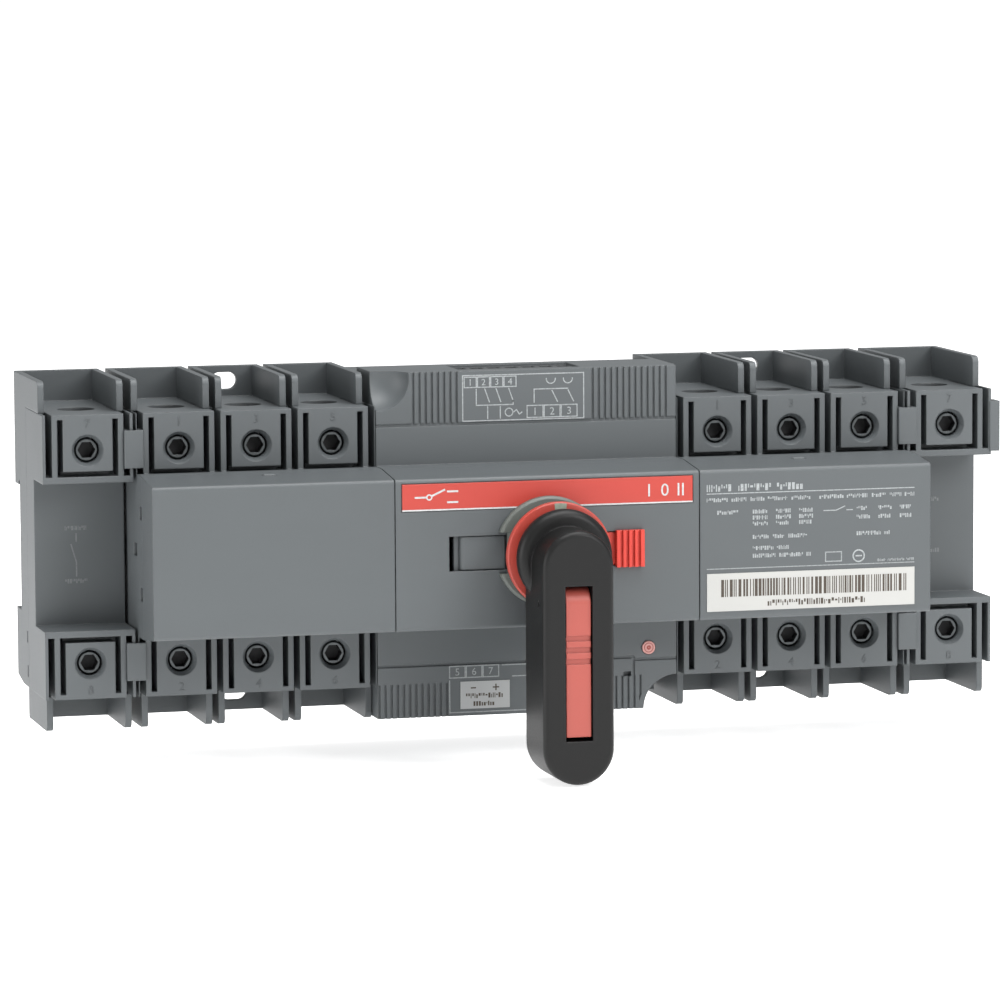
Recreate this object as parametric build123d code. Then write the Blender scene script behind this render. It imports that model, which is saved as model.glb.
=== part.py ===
"""Motor-operated change-over switch: two four-pole switch units either side of a drive mechanism.

Frame: +X runs along the width, the front faces -Y, +Z is up. The origin is the middle of the
back plane, which is the mounting panel. A depth is a distance in front of that plane.
"""
from build123d import *
import math
import os

# Driving dimensions, millimetres
POLE_PITCH = 23.33
INNER_POLE_X = 59.6
NEUTRAL_PITCH = 27.3
BODY_TOP = 51.6
BODY_BOTTOM = 52.6
TERMINAL_Z = 31.6
TERMINAL_INNER_Z = 21.9
TERMINAL_OUTER_Z = 42.2
SHOULDER_Z = 24.2
COVER_FACE_Z = 22.5
RAIL_SEAT_Z = 17.8
CHAMFER_Z = 40.4

RAIL_DEPTH = 8.0
LOWER_BACK_DEPTH = 10.0
ROTOR_DEPTH = 20.5
NEUTRAL_PANEL_DEPTH = 33.0
SHROUD_DEPTH = 41.5
TERMINAL_DEPTH = 49.0
SHOULDER_DEPTH = 57.0
COVER_DEPTH = 73.6

WALL = 1.9
SKIN = 2.0
JOINT_GAP = 0.1
SLOT_INNER = 7.4
SLOT_OUTER = 9.1
GROOVE_INNER = 10.7
GROOVE_OUTER = POLE_PITCH - GROOVE_INNER
BLOCK_EDGE = 12.84
NEUTRAL_NEAR = 12.0
NEUTRAL_FAR = 13.5
CHAMBER_HALF = 8.6
CHAMBER_BACK = 9.8

LINK_HALF = 2.85

PANEL_SLOT_Z = 47.0
PANEL_SLOT_R = 2.6
SCREW_BORE_R = 3.8
SCREW_RECESS_R = 4.75
SCREW_RECESS_DEPTH = 1.9
SCREW_HEAD_R = 3.5
SCREW_FRONT_DEPTH = 46.7
SCREW_SHANK_R = 2.9
HEX_ACROSS = 4.6
HEX_DEPTH = 3.6
CLAMP_HALF = 6.2

BLADE_REACH = 10.2
BLADE_WIDTH = 4.4
BLADE_THICK = 1.2
KNIFE_THICK = 1.6
CONTACT_GAP = 0.1
ROTOR_R = 5.2
JOURNAL_R = 3.6
RUNNING_FIT = 0.08
SOCKET_SIDE = 3.2
SOCKET_DEPTH = 4.2
REST_TILT = 60.0

MODULE = 1.0
SHAFT_PINION_TEETH = 12
ROTOR_GEAR_TEETH = 18
SHAFT_GEAR_TEETH = 36
IDLER_GEAR_TEETH = 30
MOTOR_PINION_TEETH = 10
ADDENDUM = 0.78
DEDENDUM = 1.12
BACKLASH = 0.18
PRESSURE_ANGLE = 20.0

SHAFT_R = 4.0
PLATE_DEPTH = 38.5
PLATE_THICK = 1.5
MOTOR_R = 12.0
IDLER_ANGLE = 240.0
MOTOR_ANGLE = 229.0

MECH_HALF_WIDTH = 46.5
MECH_HALF_HEIGHT = 52.0
MECH_SPLIT_DEPTH = 24.0
RIB_BAND_Z = 36.2
RIB_PITCH = 1.9
MIDDLE_COVER_HALF = 46.5
COVER_OUTER_X = 119.2

DIAL_OUTER_R = 16.5
DIAL_FRONT_DEPTH = 76.2
DIAL_SPIGOT_R = 11.0
DIAL_NOTCH_X = 12.8
DIAL_NOTCH_HALF = 6.2
BUSH_R = 9.4
BAND_HALF_WIDTH = 44.5
BAND_BOTTOM_Z = 13.1
BAND_TOP_Z = 21.1
BAND_RECESS = 0.4
DISC_R = 15.9
DISC_BACK_DEPTH = 84.6
DISC_FRONT_DEPTH = 86.8
HUB_R = 14.4
HUB_BACK_R = 12.8
HUB_NECK_R = 11.0
NECK_BACK_DEPTH = 79.6
HUB_BACK_DEPTH = 86.9
HUB_RIM_DEPTH = 91.0
HUB_FRONT_DEPTH = 94.6
SET_SCREW_DEPTH = 82.1
GRIP_HALF_WIDTH = 10.7
GRIP_BACK_DEPTH = 87.4
GRIP_TOP_Z = -1.2
GRIP_FRONT_DEPTH = 108.0
GRIP_END_Z = -65.2
STRIP_HALF_WIDTH = 3.7
STRIP_END_Z = -51.0

SLIDE_HALF_HEIGHT = 5.2
SLIDE_BACK = 69.0
SLIDE_FRONT = 71.3
MODE_GRIP_LENGTH = 8.6
MODE_GRIP_RISE = 2.0
LOCK_WINDOW = (-30.3, -12.3)
MODE_WINDOW = (13.0, 29.4)
LOCK_SLIDE = (-27.0, -13.2)
MODE_SLIDE = (16.4, 29.1)
SLIDE_FLANGE = 1.4

BLOCK_X = INNER_POLE_X + POLE_PITCH
NEUTRAL_X = INNER_POLE_X + 2 * POLE_PITCH + NEUTRAL_PITCH
BLOCK_HALF = POLE_PITCH + BLOCK_EDGE
POLES = (-POLE_PITCH, 0.0, POLE_PITCH)
SIDES = {"left": -1, "right": 1}

SHAFT_PINION_R = MODULE * SHAFT_PINION_TEETH / 2
ROTOR_GEAR_R = MODULE * ROTOR_GEAR_TEETH / 2
RACK_DEPTH = ROTOR_DEPTH + ROTOR_GEAR_R
BAR_BACK = RACK_DEPTH + DEDENDUM * MODULE
BAR_FRONT = 35.0
BAR_OUTER = 16.0
BAR_HALF = 16.0
SHAFT_GEAR_DEPTH = 40.5
IDLER_GEAR_DEPTH = 43.5
GEAR_TOP = 46.0

FIRST_CENTRE = MODULE * (SHAFT_GEAR_TEETH + SHAFT_PINION_TEETH) / 2
SECOND_CENTRE = MODULE * (IDLER_GEAR_TEETH + MOTOR_PINION_TEETH) / 2
IDLER_X = FIRST_CENTRE * math.cos(math.radians(IDLER_ANGLE))
IDLER_Z = FIRST_CENTRE * math.sin(math.radians(IDLER_ANGLE))
MOTOR_X = IDLER_X + SECOND_CENTRE * math.cos(math.radians(MOTOR_ANGLE))
MOTOR_Z = IDLER_Z + SECOND_CENTRE * math.sin(math.radians(MOTOR_ANGLE))

POSTS = ((-38.0, 24.0), (22.0, 24.0), (24.0, -42.0), (-41.0, -18.0))
BOSS_R = 3.8
SCOOP_X = -45.5
SCOOP_R = 9.3
CORNER_X = 46.5
CORNER_Z = -52.3
CORNER_R = 10.4
BOSSES = ((-41.0, 44.5), (41.0, 44.5), (-41.0, -44.5), (35.0, -44.5))
CLIP_PIVOT_Z = -12.0
CLIP_PIVOT_DEPTH = 102.4
CLIP_ROUND = 4.8
STEP_X = 33.0
STEP_Z = 37.0
FUSE_X = 37.7
FUSE_Z = -33.5
FUSE_R = 2.1
SERIAL_LABEL = (48.9, 114.1, -20.1, -8.7)
SUPPLY_LABEL = (-21.1, -5.8, -49.9, -41.6)
LABEL_THICK = 0.2
VENT_SLOTS = ((54.6, 13.1, 1.6), (46.0, 1.6, 2.4), (54.6, -11.0, 1.6))
UPPER_TERMINALS = (-19.8, 17.9)
LOWER_TERMINALS = (-11.0, 11.0)
UPPER_RIBS = ((-35.0, -21.4), (20.5, 45.0))
LOWER_RIBS = ((-46.1, -24.4), (27.5, 36.0))


def block(x0, x1, d0, d1, z0, z1):
    """A rectangular block between two depths."""
    middle = Pos((x0 + x1) / 2, -(d0 + d1) / 2, (z0 + z1) / 2)
    return middle * Box(abs(x1 - x0), abs(d1 - d0), abs(z1 - z0))


def rod_x(x0, x1, depth, z, radius):
    """A round rod along X."""
    return Pos((x0 + x1) / 2, -depth, z) * Rot(0, 90, 0) * Cylinder(radius, abs(x1 - x0))


def rod_y(x, z, d0, d1, radius):
    """A round rod along the depth."""
    return Pos(x, -(d0 + d1) / 2, z) * Rot(90, 0, 0) * Cylinder(radius, abs(d1 - d0))


def rod_z(x, depth, z0, z1, radius):
    """An upright round rod."""
    return Pos(x, -depth, (z0 + z1) / 2) * Cylinder(radius, abs(z1 - z0))


def hex_y(x, z, d0, d1, across):
    """A hexagonal prism along the depth."""
    flat = Plane(origin=(x, -d1, z), x_dir=(1, 0, 0), z_dir=(0, 1, 0))
    return extrude(flat * RegularPolygon(across / math.sqrt(3), 6), abs(d1 - d0))


def profile_x(points, x0, x1):
    """A prism along X from (depth, z) corners."""
    face = Plane(origin=(x0, 0, 0), x_dir=(0, -1, 0), z_dir=(-1, 0, 0))
    outline = face * make_face(Polyline(*points, close=True))
    return extrude(outline, -(x1 - x0))


def profile_y(points, d0, d1):
    """A prism along the depth from (x, z) corners."""
    face = Plane(origin=(0, -d0, 0), x_dir=(1, 0, 0), z_dir=(0, -1, 0))
    return extrude(face * make_face(Polyline(*points, close=True)), d1 - d0)


def save(name, *solids):
    """Write one sub-part; several solids share a file as a group."""
    parts = []
    for item in solids:
        parts.extend(item.solids())
    shape = parts[0] if len(parts) == 1 else Compound(children=parts)
    export_step(shape, "parts/" + name + ".step")


# ---------------------------------------------------------------- toothed parts

def tooth_points(teeth, first_angle):
    """Corners of a spur wheel in its own plane, with involute flanks."""
    pitch_r = MODULE * teeth / 2
    base_r = pitch_r * math.cos(math.radians(PRESSURE_ANGLE))
    root_r = pitch_r - MODULE * DEDENDUM
    tip_r = pitch_r + MODULE * ADDENDUM
    pitch_involute = math.tan(math.radians(PRESSURE_ANGLE)) - math.radians(PRESSURE_ANGLE)
    half_at_pitch = (math.pi * MODULE / 2 - BACKLASH) / 2 / pitch_r
    flank = []
    for step in range(4):
        radius = max(base_r, root_r) + (tip_r - max(base_r, root_r)) * step / 3
        turn = math.acos(base_r / radius)
        half = half_at_pitch + pitch_involute - (math.tan(turn) - turn)
        flank.append((radius, half))
    points = []
    for number in range(teeth):
        middle = math.radians(first_angle) + 2 * math.pi * number / teeth
        side = [(root_r, flank[0][1] + 0.02)] + flank
        for radius, half in side:
            points.append((radius * math.cos(middle - half), radius * math.sin(middle - half)))
        for radius, half in reversed(side):
            points.append((radius * math.cos(middle + half), radius * math.sin(middle + half)))
    return points


def wheel_y(x, z, d0, d1, teeth, first_angle=0.0):
    """A spur wheel turning about the depth direction."""
    points = [(x + u, z + v) for u, v in tooth_points(teeth, first_angle)]
    return profile_y(points, d0, d1)


def wheel_x(x0, x1, depth, teeth, first_angle=0.0):
    """A spur wheel turning about X at z = 0."""
    points = [(depth + u, v) for u, v in tooth_points(teeth, first_angle)]
    return profile_x(points, x0, x1)


def rack_outline(half_length, pitch_line, outward, back):
    """Corners (across, along) of a rack: a tooth gap lies at the middle of its length."""
    pitch = math.pi * MODULE
    slope = math.tan(math.radians(PRESSURE_ANGLE))
    half_pitch_line = (pitch / 2 - BACKLASH) / 2
    tip = pitch_line + outward * ADDENDUM * MODULE
    root = pitch_line - outward * DEDENDUM * MODULE
    points = [(back, -half_length), (root, -half_length)]
    count = int(half_length / pitch)
    for number in range(-count, count):
        centre = (number + 0.5) * pitch
        wide = half_pitch_line + DEDENDUM * MODULE * slope
        narrow = half_pitch_line - ADDENDUM * MODULE * slope
        points += [(root, centre - wide), (tip, centre - narrow)]
        points += [(tip, centre + narrow), (root, centre + wide)]
    points += [(root, half_length), (back, half_length)]
    return points


# ---------------------------------------------------------------- switch units

def snap_holes(centre, side):
    """Two small upright holes in the outer face of a neutral pole."""
    x = centre + side * NEUTRAL_FAR
    holes = Part()
    for z in (-27.0, -37.4):
        holes += block(x - 0.7, x + 0.7, 17.6, 19.0, z - 1.8, z + 1.8)
    return holes


def shroud(x, near, far, end, back_depth):
    """Barrier walls and back wall round one pole's cable space, at one end."""
    z_in = end * (TERMINAL_OUTER_Z - 1.2)
    z_front = end * (TERMINAL_OUTER_Z + JOINT_GAP)
    z_out = BODY_TOP if end > 0 else -BODY_BOTTOM
    left = x - near
    right = x + far
    pieces = block(left, right, back_depth, back_depth + SKIN, z_in, z_out)
    for inner, outer in ((left, left + WALL), (right - WALL, right)):
        pieces += block(inner, outer, back_depth, ROTOR_DEPTH, z_in, z_out)
        pieces += block(inner, outer, ROTOR_DEPTH, SHROUD_DEPTH, z_front, z_out)
    corner = [edge for edge in pieces.edges().filter_by(Axis.X)
              if abs(edge.center().Z - z_out) < 0.01 and abs(edge.center().Y + SHROUD_DEPTH) < 0.01]
    return fillet(corner, 2.0)


def back_depth_of(end):
    """The upper shroud starts at the back plane, the lower one is set forward."""
    return 0.0 if end > 0 else LOWER_BACK_DEPTH


def side_profile():
    """Outline (depth, z) of a rear housing, with its rail recess and lower chamfer."""
    return [(0, TERMINAL_OUTER_Z), (0, RAIL_SEAT_Z), (RAIL_DEPTH - 1.8, RAIL_SEAT_Z),
            (RAIL_DEPTH - 1.8, RAIL_SEAT_Z + 1.3), (RAIL_DEPTH, RAIL_SEAT_Z + 1.3),
            (RAIL_DEPTH, -RAIL_SEAT_Z - 2.1), (0, -RAIL_SEAT_Z - 2.1), (0, -CHAMFER_Z),
            (LOWER_BACK_DEPTH, -TERMINAL_OUTER_Z), (ROTOR_DEPTH, -TERMINAL_OUTER_Z),
            (ROTOR_DEPTH, TERMINAL_OUTER_Z)]


def rear_chamber(x):
    """Room for one pole's contacts in the rear housing."""
    room = block(x - CHAMBER_HALF, x + CHAMBER_HALF, CHAMBER_BACK, ROTOR_DEPTH + 1, -20, 20)
    for end in (1, -1):
        room += block(x - CLAMP_HALF - 0.4, x + CLAMP_HALF + 0.4, 15, ROTOR_DEPTH + 1,
                      end * 19, end * (TERMINAL_OUTER_Z - SKIN))
    return room


def rotor_tunnel(centre, half, closed_side):
    """Journal bores and clearance for a rotor; a closed side stops short of the outer face."""
    ends = [centre - half - 1, centre + half + 1]
    if closed_side:
        ends[(closed_side + 1) // 2] -= closed_side * 2.2
    tunnel = rod_x(ends[0], ends[1], ROTOR_DEPTH, 0, JOURNAL_R + RUNNING_FIT)
    return tunnel + rod_x(centre - half + 2.2, centre + half - 2.2, ROTOR_DEPTH, 0, ROTOR_R + 0.3)


def rear_housing(centre, poles, half, edges, closed_side=0):
    """Rear shell: rail recess, contact chambers, journals and shrouds."""
    shell = profile_x(side_profile(), centre - half, centre + half)
    for offset in poles:
        shell -= rear_chamber(centre + offset)
    shell -= rotor_tunnel(centre, half, closed_side)
    for end in (1, -1):
        for offset in poles:
            near, far = edges(offset, end)
            shell += shroud(centre + offset, near, far, end, back_depth_of(end))
    return shell


def block_edges(offset, end):
    """How far a pole's shroud reaches to its left and right in a three-pole block."""
    near = BLOCK_EDGE if offset < 0 and end > 0 else GROOVE_INNER
    far = BLOCK_EDGE if offset > 0 and end < 0 else GROOVE_INNER
    return near, far


def neutral_edges(offset, end):
    """The same for a separate neutral pole."""
    return (NEUTRAL_FAR, NEUTRAL_NEAR) if end > 0 else (NEUTRAL_NEAR, NEUTRAL_FAR)


def terminal_face(x, end):
    """Material removed round one terminal: screw bore, slots and the clamp pocket."""
    z = end * TERMINAL_Z
    z_in = end * 23.8
    z_out = end * 40.8
    cut = rod_y(x, z, 40, TERMINAL_DEPTH + 1, SCREW_BORE_R)
    recess = Rot(90, 0, 0) * Cone(SCREW_BORE_R, SCREW_RECESS_R, SCREW_RECESS_DEPTH)
    cut += Pos(x, SCREW_RECESS_DEPTH / 2 - TERMINAL_DEPTH, z) * recess
    for side in (1, -1):
        cut += block(x + side * SLOT_INNER, x + side * SLOT_OUTER, 41, TERMINAL_DEPTH + 1, z_in, z_out)
        cut += block(x + side * GROOVE_INNER, x + side * GROOVE_OUTER, 36, TERMINAL_DEPTH + 1,
                     z_in, end * (TERMINAL_OUTER_Z + 1))
    cut += block(x - SLOT_INNER, x + SLOT_INNER, 44, TERMINAL_DEPTH + 1, z_in, end * 25.4)
    cut += block(x - CLAMP_HALF - 0.4, x + CLAMP_HALF + 0.4, ROTOR_DEPTH - 1, 41, end * 24,
                 end * (TERMINAL_OUTER_Z - SKIN))
    cut += rod_z(x, 30, end * 39, end * (TERMINAL_OUTER_Z + 1), 5.6)
    return cut


def front_housing(centre, poles, half, panel_depth, panel_z, closed_side=0):
    """Front shell: terminal blocks and the wall in front of the contacts."""
    shell = block(centre - half, centre + half, ROTOR_DEPTH + JOINT_GAP, panel_depth, -panel_z, panel_z)
    for end in (1, -1):
        shell += block(centre - half, centre + half, ROTOR_DEPTH + JOINT_GAP, TERMINAL_DEPTH,
                       end * TERMINAL_INNER_Z, end * TERMINAL_OUTER_Z)
        for offset in poles:
            shell -= terminal_face(centre + offset, end)
    for offset in poles:
        x = centre + offset
        shell -= block(x - CHAMBER_HALF, x + CHAMBER_HALF, ROTOR_DEPTH - 1, panel_depth - 1.6, -19.6, 19.6)
        for end in (1, -1):
            shell -= block(x - 2.2, x + 2.2, ROTOR_DEPTH - 1, 31, end * 18, end * 26)
    return shell - rotor_tunnel(centre, half, closed_side)


def cover(x0, x1):
    """A hollow front cover with sloped upper and lower faces."""
    outline = [(SHOULDER_DEPTH, -SHOULDER_Z), (COVER_DEPTH, -COVER_FACE_Z),
               (COVER_DEPTH, COVER_FACE_Z), (SHOULDER_DEPTH, SHOULDER_Z)]
    shell = profile_x(outline, x0, x1)
    edges = shell.edges().filter_by(Axis.X).group_by(Axis.Y)[0]
    shell = fillet(edges, 1.2)
    shell -= block(x0 + SKIN, x1 - SKIN, SHOULDER_DEPTH - 1, COVER_DEPTH - SKIN,
                   -COVER_FACE_Z + SKIN - 0.4, COVER_FACE_Z - SKIN + 0.4)
    return shell


def vent_slots(x):
    """Three small slots in the outer side of a three-pole block."""
    slots = Part()
    for depth, z, half in VENT_SLOTS:
        slots += block(x - 1.3, x + 1.3, depth - half, depth + half, z - 2.0, z + 2.0)
    return slots


def rotor(centre, poles, half, closed_side=0):
    """Moulded roller that carries the blades of one block, with a square socket in each end."""
    ends = [centre - half - 0.25, centre + half + 0.25]
    if closed_side:
        ends[(closed_side + 1) // 2] -= closed_side * 2.0
    roller = rod_x(centre - half + 2.6, centre + half - 2.6, ROTOR_DEPTH, 0, ROTOR_R)
    roller += rod_x(ends[0], ends[1], ROTOR_DEPTH, 0, JOURNAL_R)
    socket = Box(2 * SOCKET_DEPTH, SOCKET_SIDE, SOCKET_SIDE)
    for end in ends:
        roller -= Pos(end, -ROTOR_DEPTH, 0) * socket
    for offset in poles:
        window = Box(KNIFE_THICK + 2 * (CONTACT_GAP + BLADE_THICK) + 1.2, BLADE_WIDTH, 30)
        roller -= Pos(centre + offset, -ROTOR_DEPTH, 0) * Rot(REST_TILT, 0, 0) * window
    return roller


def blade_pair(x):
    """Two contact blades, one either side of the fixed knives."""
    inner = KNIFE_THICK / 2 + CONTACT_GAP
    pair = []
    for side in (1, -1):
        blade = Pos(side * (inner + BLADE_THICK / 2), 0, 0) * Box(BLADE_THICK, BLADE_WIDTH, 2 * BLADE_REACH)
        ends = blade.edges().filter_by(Axis.X)
        blade = fillet(ends, BLADE_WIDTH / 2 - 0.2)
        pair.append(Pos(x, -ROTOR_DEPTH, 0) * Rot(REST_TILT, 0, 0) * blade)
    return pair


def blade_springs(x):
    """Flat springs pressing the blades together inside the rotor window."""
    outer = KNIFE_THICK / 2 + CONTACT_GAP + BLADE_THICK
    springs = []
    for side in (1, -1):
        leaf = Pos(side * (outer + 0.25), 0, 0) * Box(0.5, BLADE_WIDTH - 1.2, 11.5)
        springs.append(Pos(x, -ROTOR_DEPTH, 0) * Rot(REST_TILT, 0, 0) * leaf)
    return springs


def fixed_contact(x, end):
    """Terminal tongue, riser and knife of one fixed contact."""
    knife = block(x - KNIFE_THICK / 2, x + KNIFE_THICK / 2, 18.2, 29.6, end * 18.0, end * 25.0)
    knife += block(x - KNIFE_THICK / 2, x + KNIFE_THICK / 2, 18.2, 22.8, end * 6.2, end * 18.0)
    tongue = block(x - 4.6, x + 4.6, 28.0, 29.6, end * 24.4, end * 38.0)
    return knife + tongue


def terminal_clamp(x, end):
    """Cage that the screw pulls up against the tongue."""
    z0 = end * 26.0
    z1 = end * 37.4
    cage = block(x - CLAMP_HALF, x + CLAMP_HALF, 22.0, 39.5, z0, z1)
    cage -= block(x - CLAMP_HALF + 1.4, x + CLAMP_HALF - 1.4, 23.4, 37.3, end * 20, end * 45)
    cage -= rod_y(x, end * TERMINAL_Z, 36, 41, SCREW_SHANK_R + 0.1)
    return cage


def terminal_screw(x, end):
    """Socket-head clamping screw."""
    z = end * TERMINAL_Z
    screw = rod_y(x, z, 32.6, 43.0, SCREW_SHANK_R)
    screw += rod_y(x, z, 42.0, SCREW_FRONT_DEPTH, SCREW_HEAD_R)
    screw = chamfer(screw.edges().group_by(Axis.Y)[0], 0.4)
    screw -= hex_y(x, z, SCREW_FRONT_DEPTH - HEX_DEPTH, TERMINAL_DEPTH, HEX_ACROSS)
    return screw


def rail_clip(centre):
    """Sliding clip that grips the lower edge of the rail, with its own moulded spring arms."""
    clip = block(centre - 6, centre + 6, 4.2, 5.9, -41.0, -16.4)
    clip += block(centre - 6, centre + 6, 2.4, 5.9, -42.8, -41.0)
    clip -= block(centre - 3.4, centre + 3.4, 4.0, 6.1, -38.0, -27.0)
    return clip


def rail_clip_channel(centre):
    """Guide channel for the clip in the rear housing."""
    channel = block(centre - 6.3, centre + 6.3, 3.8, 6.3, -CHAMFER_Z - 6, -15)
    return channel + block(centre - 6.3, centre + 6.3, -1, 6.3, -47, -39.8)


def free_hook(centre):
    """Hook on the outer side of the last neutral pole, where a further block would be joined."""
    x = centre + NEUTRAL_FAR
    hook = block(x - 0.5, x + 2.6, 47.6, TERMINAL_DEPTH + 0.4, 23.0, 38.4)
    return hook + block(x + 1.4, x + 2.6, 43.6, TERMINAL_DEPTH + 0.4, 23.0, 38.4)


def link_clip(x, z):
    """Hooked clip joining a neutral pole to its three-pole block."""
    clip = block(x - LINK_HALF, x + LINK_HALF, TERMINAL_DEPTH + JOINT_GAP, 50.0, z - 5.6, z + 5.6)
    for side in (1, -1):
        clip += block(x + side * (LINK_HALF - 1.6), x + side * LINK_HALF, 44, 50.0, z - 5.6, z + 5.6)
    return clip


# ---------------------------------------------------------------- drive mechanism

def mechanism_base():
    """Rear shell of the mechanism, with plate posts, screw bosses and the rear bush seat."""
    outline = [(0, 50), (0, RAIL_SEAT_Z), (RAIL_DEPTH, RAIL_SEAT_Z), (RAIL_DEPTH, -RAIL_SEAT_Z - 2.1),
               (0, -RAIL_SEAT_Z - 2.1), (0, -46), (4, -50), (MECH_SPLIT_DEPTH, -50), (MECH_SPLIT_DEPTH, 50)]
    shell = profile_x(outline, -MECH_HALF_WIDTH, MECH_HALF_WIDTH)
    inner = MECH_HALF_WIDTH - WALL
    shell -= block(-inner, inner, RAIL_DEPTH + SKIN, MECH_SPLIT_DEPTH + 1, -48, 48)
    for low, high in ((20.0, 48.0), (-44.0, -22.0)):
        shell -= block(-inner, inner, SKIN, RAIL_DEPTH + SKIN + 1, low, high)
    for x, z in POSTS:
        floor = RAIL_DEPTH if abs(z) < 20.0 else 0.0
        shell += rod_y(x, z, floor + 1.0, PLATE_DEPTH - JOINT_GAP, 2.6)
        shell -= rod_y(x, z, PLATE_DEPTH - 8, PLATE_DEPTH + 1, 1.2)
    for x, z in BOSSES:
        shell += rod_y(x, z, 1.0, MECH_SPLIT_DEPTH, BOSS_R)
        shell -= rod_y(x, z, -1, MECH_SPLIT_DEPTH + 1, 1.6)
        shell -= rod_y(x, z, -1, 2.6, 2.9)
    shell += rod_y(0, 0, RAIL_DEPTH + SKIN - 0.5, 16.0, 8.0)
    shell -= rod_y(0, 0, RAIL_DEPTH + SKIN, 17.0, 6.05)
    return shell - rod_x(-60, 60, ROTOR_DEPTH, 0, JOURNAL_R + 0.3)


def rib_grooves(spans, z0, z1):
    """Shallow upright grooves between the ribs of a ventilation band."""
    grooves = Part()
    for start, stop in spans:
        for number in range(int((stop - start) / RIB_PITCH) + 1):
            x = start + number * RIB_PITCH
            grooves += block(x - 0.35, x + 0.35, TERMINAL_DEPTH - 0.6, TERMINAL_DEPTH + 1, z0, z1)
    return grooves


def mechanism_housing():
    """Front shell of the mechanism: plain and ribbed bands above and below the cover."""
    half = MECH_HALF_WIDTH
    start = MECH_SPLIT_DEPTH + JOINT_GAP
    shell = block(-half, half, start, TERMINAL_DEPTH, -MECH_HALF_HEIGHT, MECH_HALF_HEIGHT)
    shell += block(-half, half, start, SHOULDER_DEPTH - JOINT_GAP, -SHOULDER_Z, SHOULDER_Z)
    inner = half - WALL
    shell -= block(-inner, inner, start - 1, TERMINAL_DEPTH - SKIN, -50.2, 50.2)
    shell -= block(-inner, inner, start - 1, SHOULDER_DEPTH + 1, -SHOULDER_Z + WALL, SHOULDER_Z - WALL)
    shell += block(-half + 0.5, SCOOP_X + SCOOP_R + 1.6, 40.2, TERMINAL_DEPTH - 0.5, 39.8, 51.0)
    for x, z in BOSSES:
        shell += rod_y(x, z, start, TERMINAL_DEPTH - 1.0, BOSS_R)
        shell -= rod_y(x, z, start - 1, 38.0, 1.45)
    shell -= rib_grooves(UPPER_RIBS, RIB_BAND_Z, MECH_HALF_HEIGHT + 1)
    shell -= rib_grooves(LOWER_RIBS, -MECH_HALF_HEIGHT - 1, -RIB_BAND_Z - 5.6)
    for start_x, stop_x, z in ((-half - 1, half + 1, RIB_BAND_Z), (-half - 1, STEP_X, -RIB_BAND_Z),
                               (STEP_X, half + 1, -STEP_Z)):
        shell -= block(start_x, stop_x, TERMINAL_DEPTH - 0.5, TERMINAL_DEPTH + 1, z - 0.4, z + 0.4)
    shell -= block(STEP_X - 0.4, STEP_X + 0.4, TERMINAL_DEPTH - 0.5, TERMINAL_DEPTH + 1, -42.0, -RIB_BAND_Z)
    shell -= block(STEP_X - 3.2, STEP_X - 0.8, TERMINAL_DEPTH - 1.8, TERMINAL_DEPTH + 1, -42.0, -40.6)
    shell -= Pos(SCOOP_X, -50.5, 50.0) * Sphere(SCOOP_R)
    shell -= rod_y(CORNER_X, CORNER_Z, start - 1, TERMINAL_DEPTH + 1, CORNER_R)
    shell += mechanism_corner()
    shell -= rod_y(FUSE_X, FUSE_Z, 40, TERMINAL_DEPTH + 1, FUSE_R)
    shell -= block(UPPER_TERMINALS[0], UPPER_TERMINALS[1], 28, 44, 46, MECH_HALF_HEIGHT + 1)
    shell -= block(LOWER_TERMINALS[0], LOWER_TERMINALS[1], 28, 44, -MECH_HALF_HEIGHT - 1, -46)
    return shell


def mechanism_corner():
    """Curved wall that closes the lower right corner cut-out."""
    wall = rod_y(CORNER_X, CORNER_Z, MECH_SPLIT_DEPTH + JOINT_GAP, TERMINAL_DEPTH, CORNER_R + 1.6)
    wall -= rod_y(CORNER_X, CORNER_Z, MECH_SPLIT_DEPTH - 1, TERMINAL_DEPTH + 1, CORNER_R)
    return wall & block(20, MECH_HALF_WIDTH, 0, 60, -MECH_HALF_HEIGHT, 0)


def mechanism_cover():
    """Middle cover with the shaft hole and the two slide windows."""
    shell = cover(-MIDDLE_COVER_HALF, MIDDLE_COVER_HALF)
    shell -= rod_y(0, 0, 60, COVER_DEPTH + 1, DIAL_SPIGOT_R + 0.05)
    for x0, x1 in (LOCK_WINDOW, MODE_WINDOW):
        shell -= block(x0, x1, 60, COVER_DEPTH + 1, -SLIDE_HALF_HEIGHT, SLIDE_HALF_HEIGHT)
    return shell - block(-BAND_HALF_WIDTH - 0.2, BAND_HALF_WIDTH + 0.2, COVER_DEPTH - BAND_RECESS,
                         COVER_DEPTH + 1, BAND_BOTTOM_Z - 0.2, BAND_TOP_Z + 0.2)


def dial_ring():
    """Fixed ring round the shaft, notched for the slides, with a spigot through the cover."""
    ring = rod_y(0, 0, COVER_DEPTH + 0.2, DIAL_FRONT_DEPTH, DIAL_OUTER_R)
    ring = chamfer(ring.edges().group_by(Axis.Y)[0], 0.7)
    ring += rod_y(0, 0, COVER_DEPTH - SKIN, COVER_DEPTH + 0.5, DIAL_SPIGOT_R)
    for side in (1, -1):
        ring -= block(side * DIAL_NOTCH_X, side * 20, COVER_DEPTH + 0.1, 78,
                      -DIAL_NOTCH_HALF, DIAL_NOTCH_HALF)
    return ring - rod_y(0, 0, 60, 80, BUSH_R + 0.05)


def bush(d0, d1, outer):
    """Plain bearing bush for the shaft."""
    return rod_y(0, 0, d0, d1, outer) - rod_y(0, 0, d0 - 1, d1 + 1, SHAFT_R + RUNNING_FIT)


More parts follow.
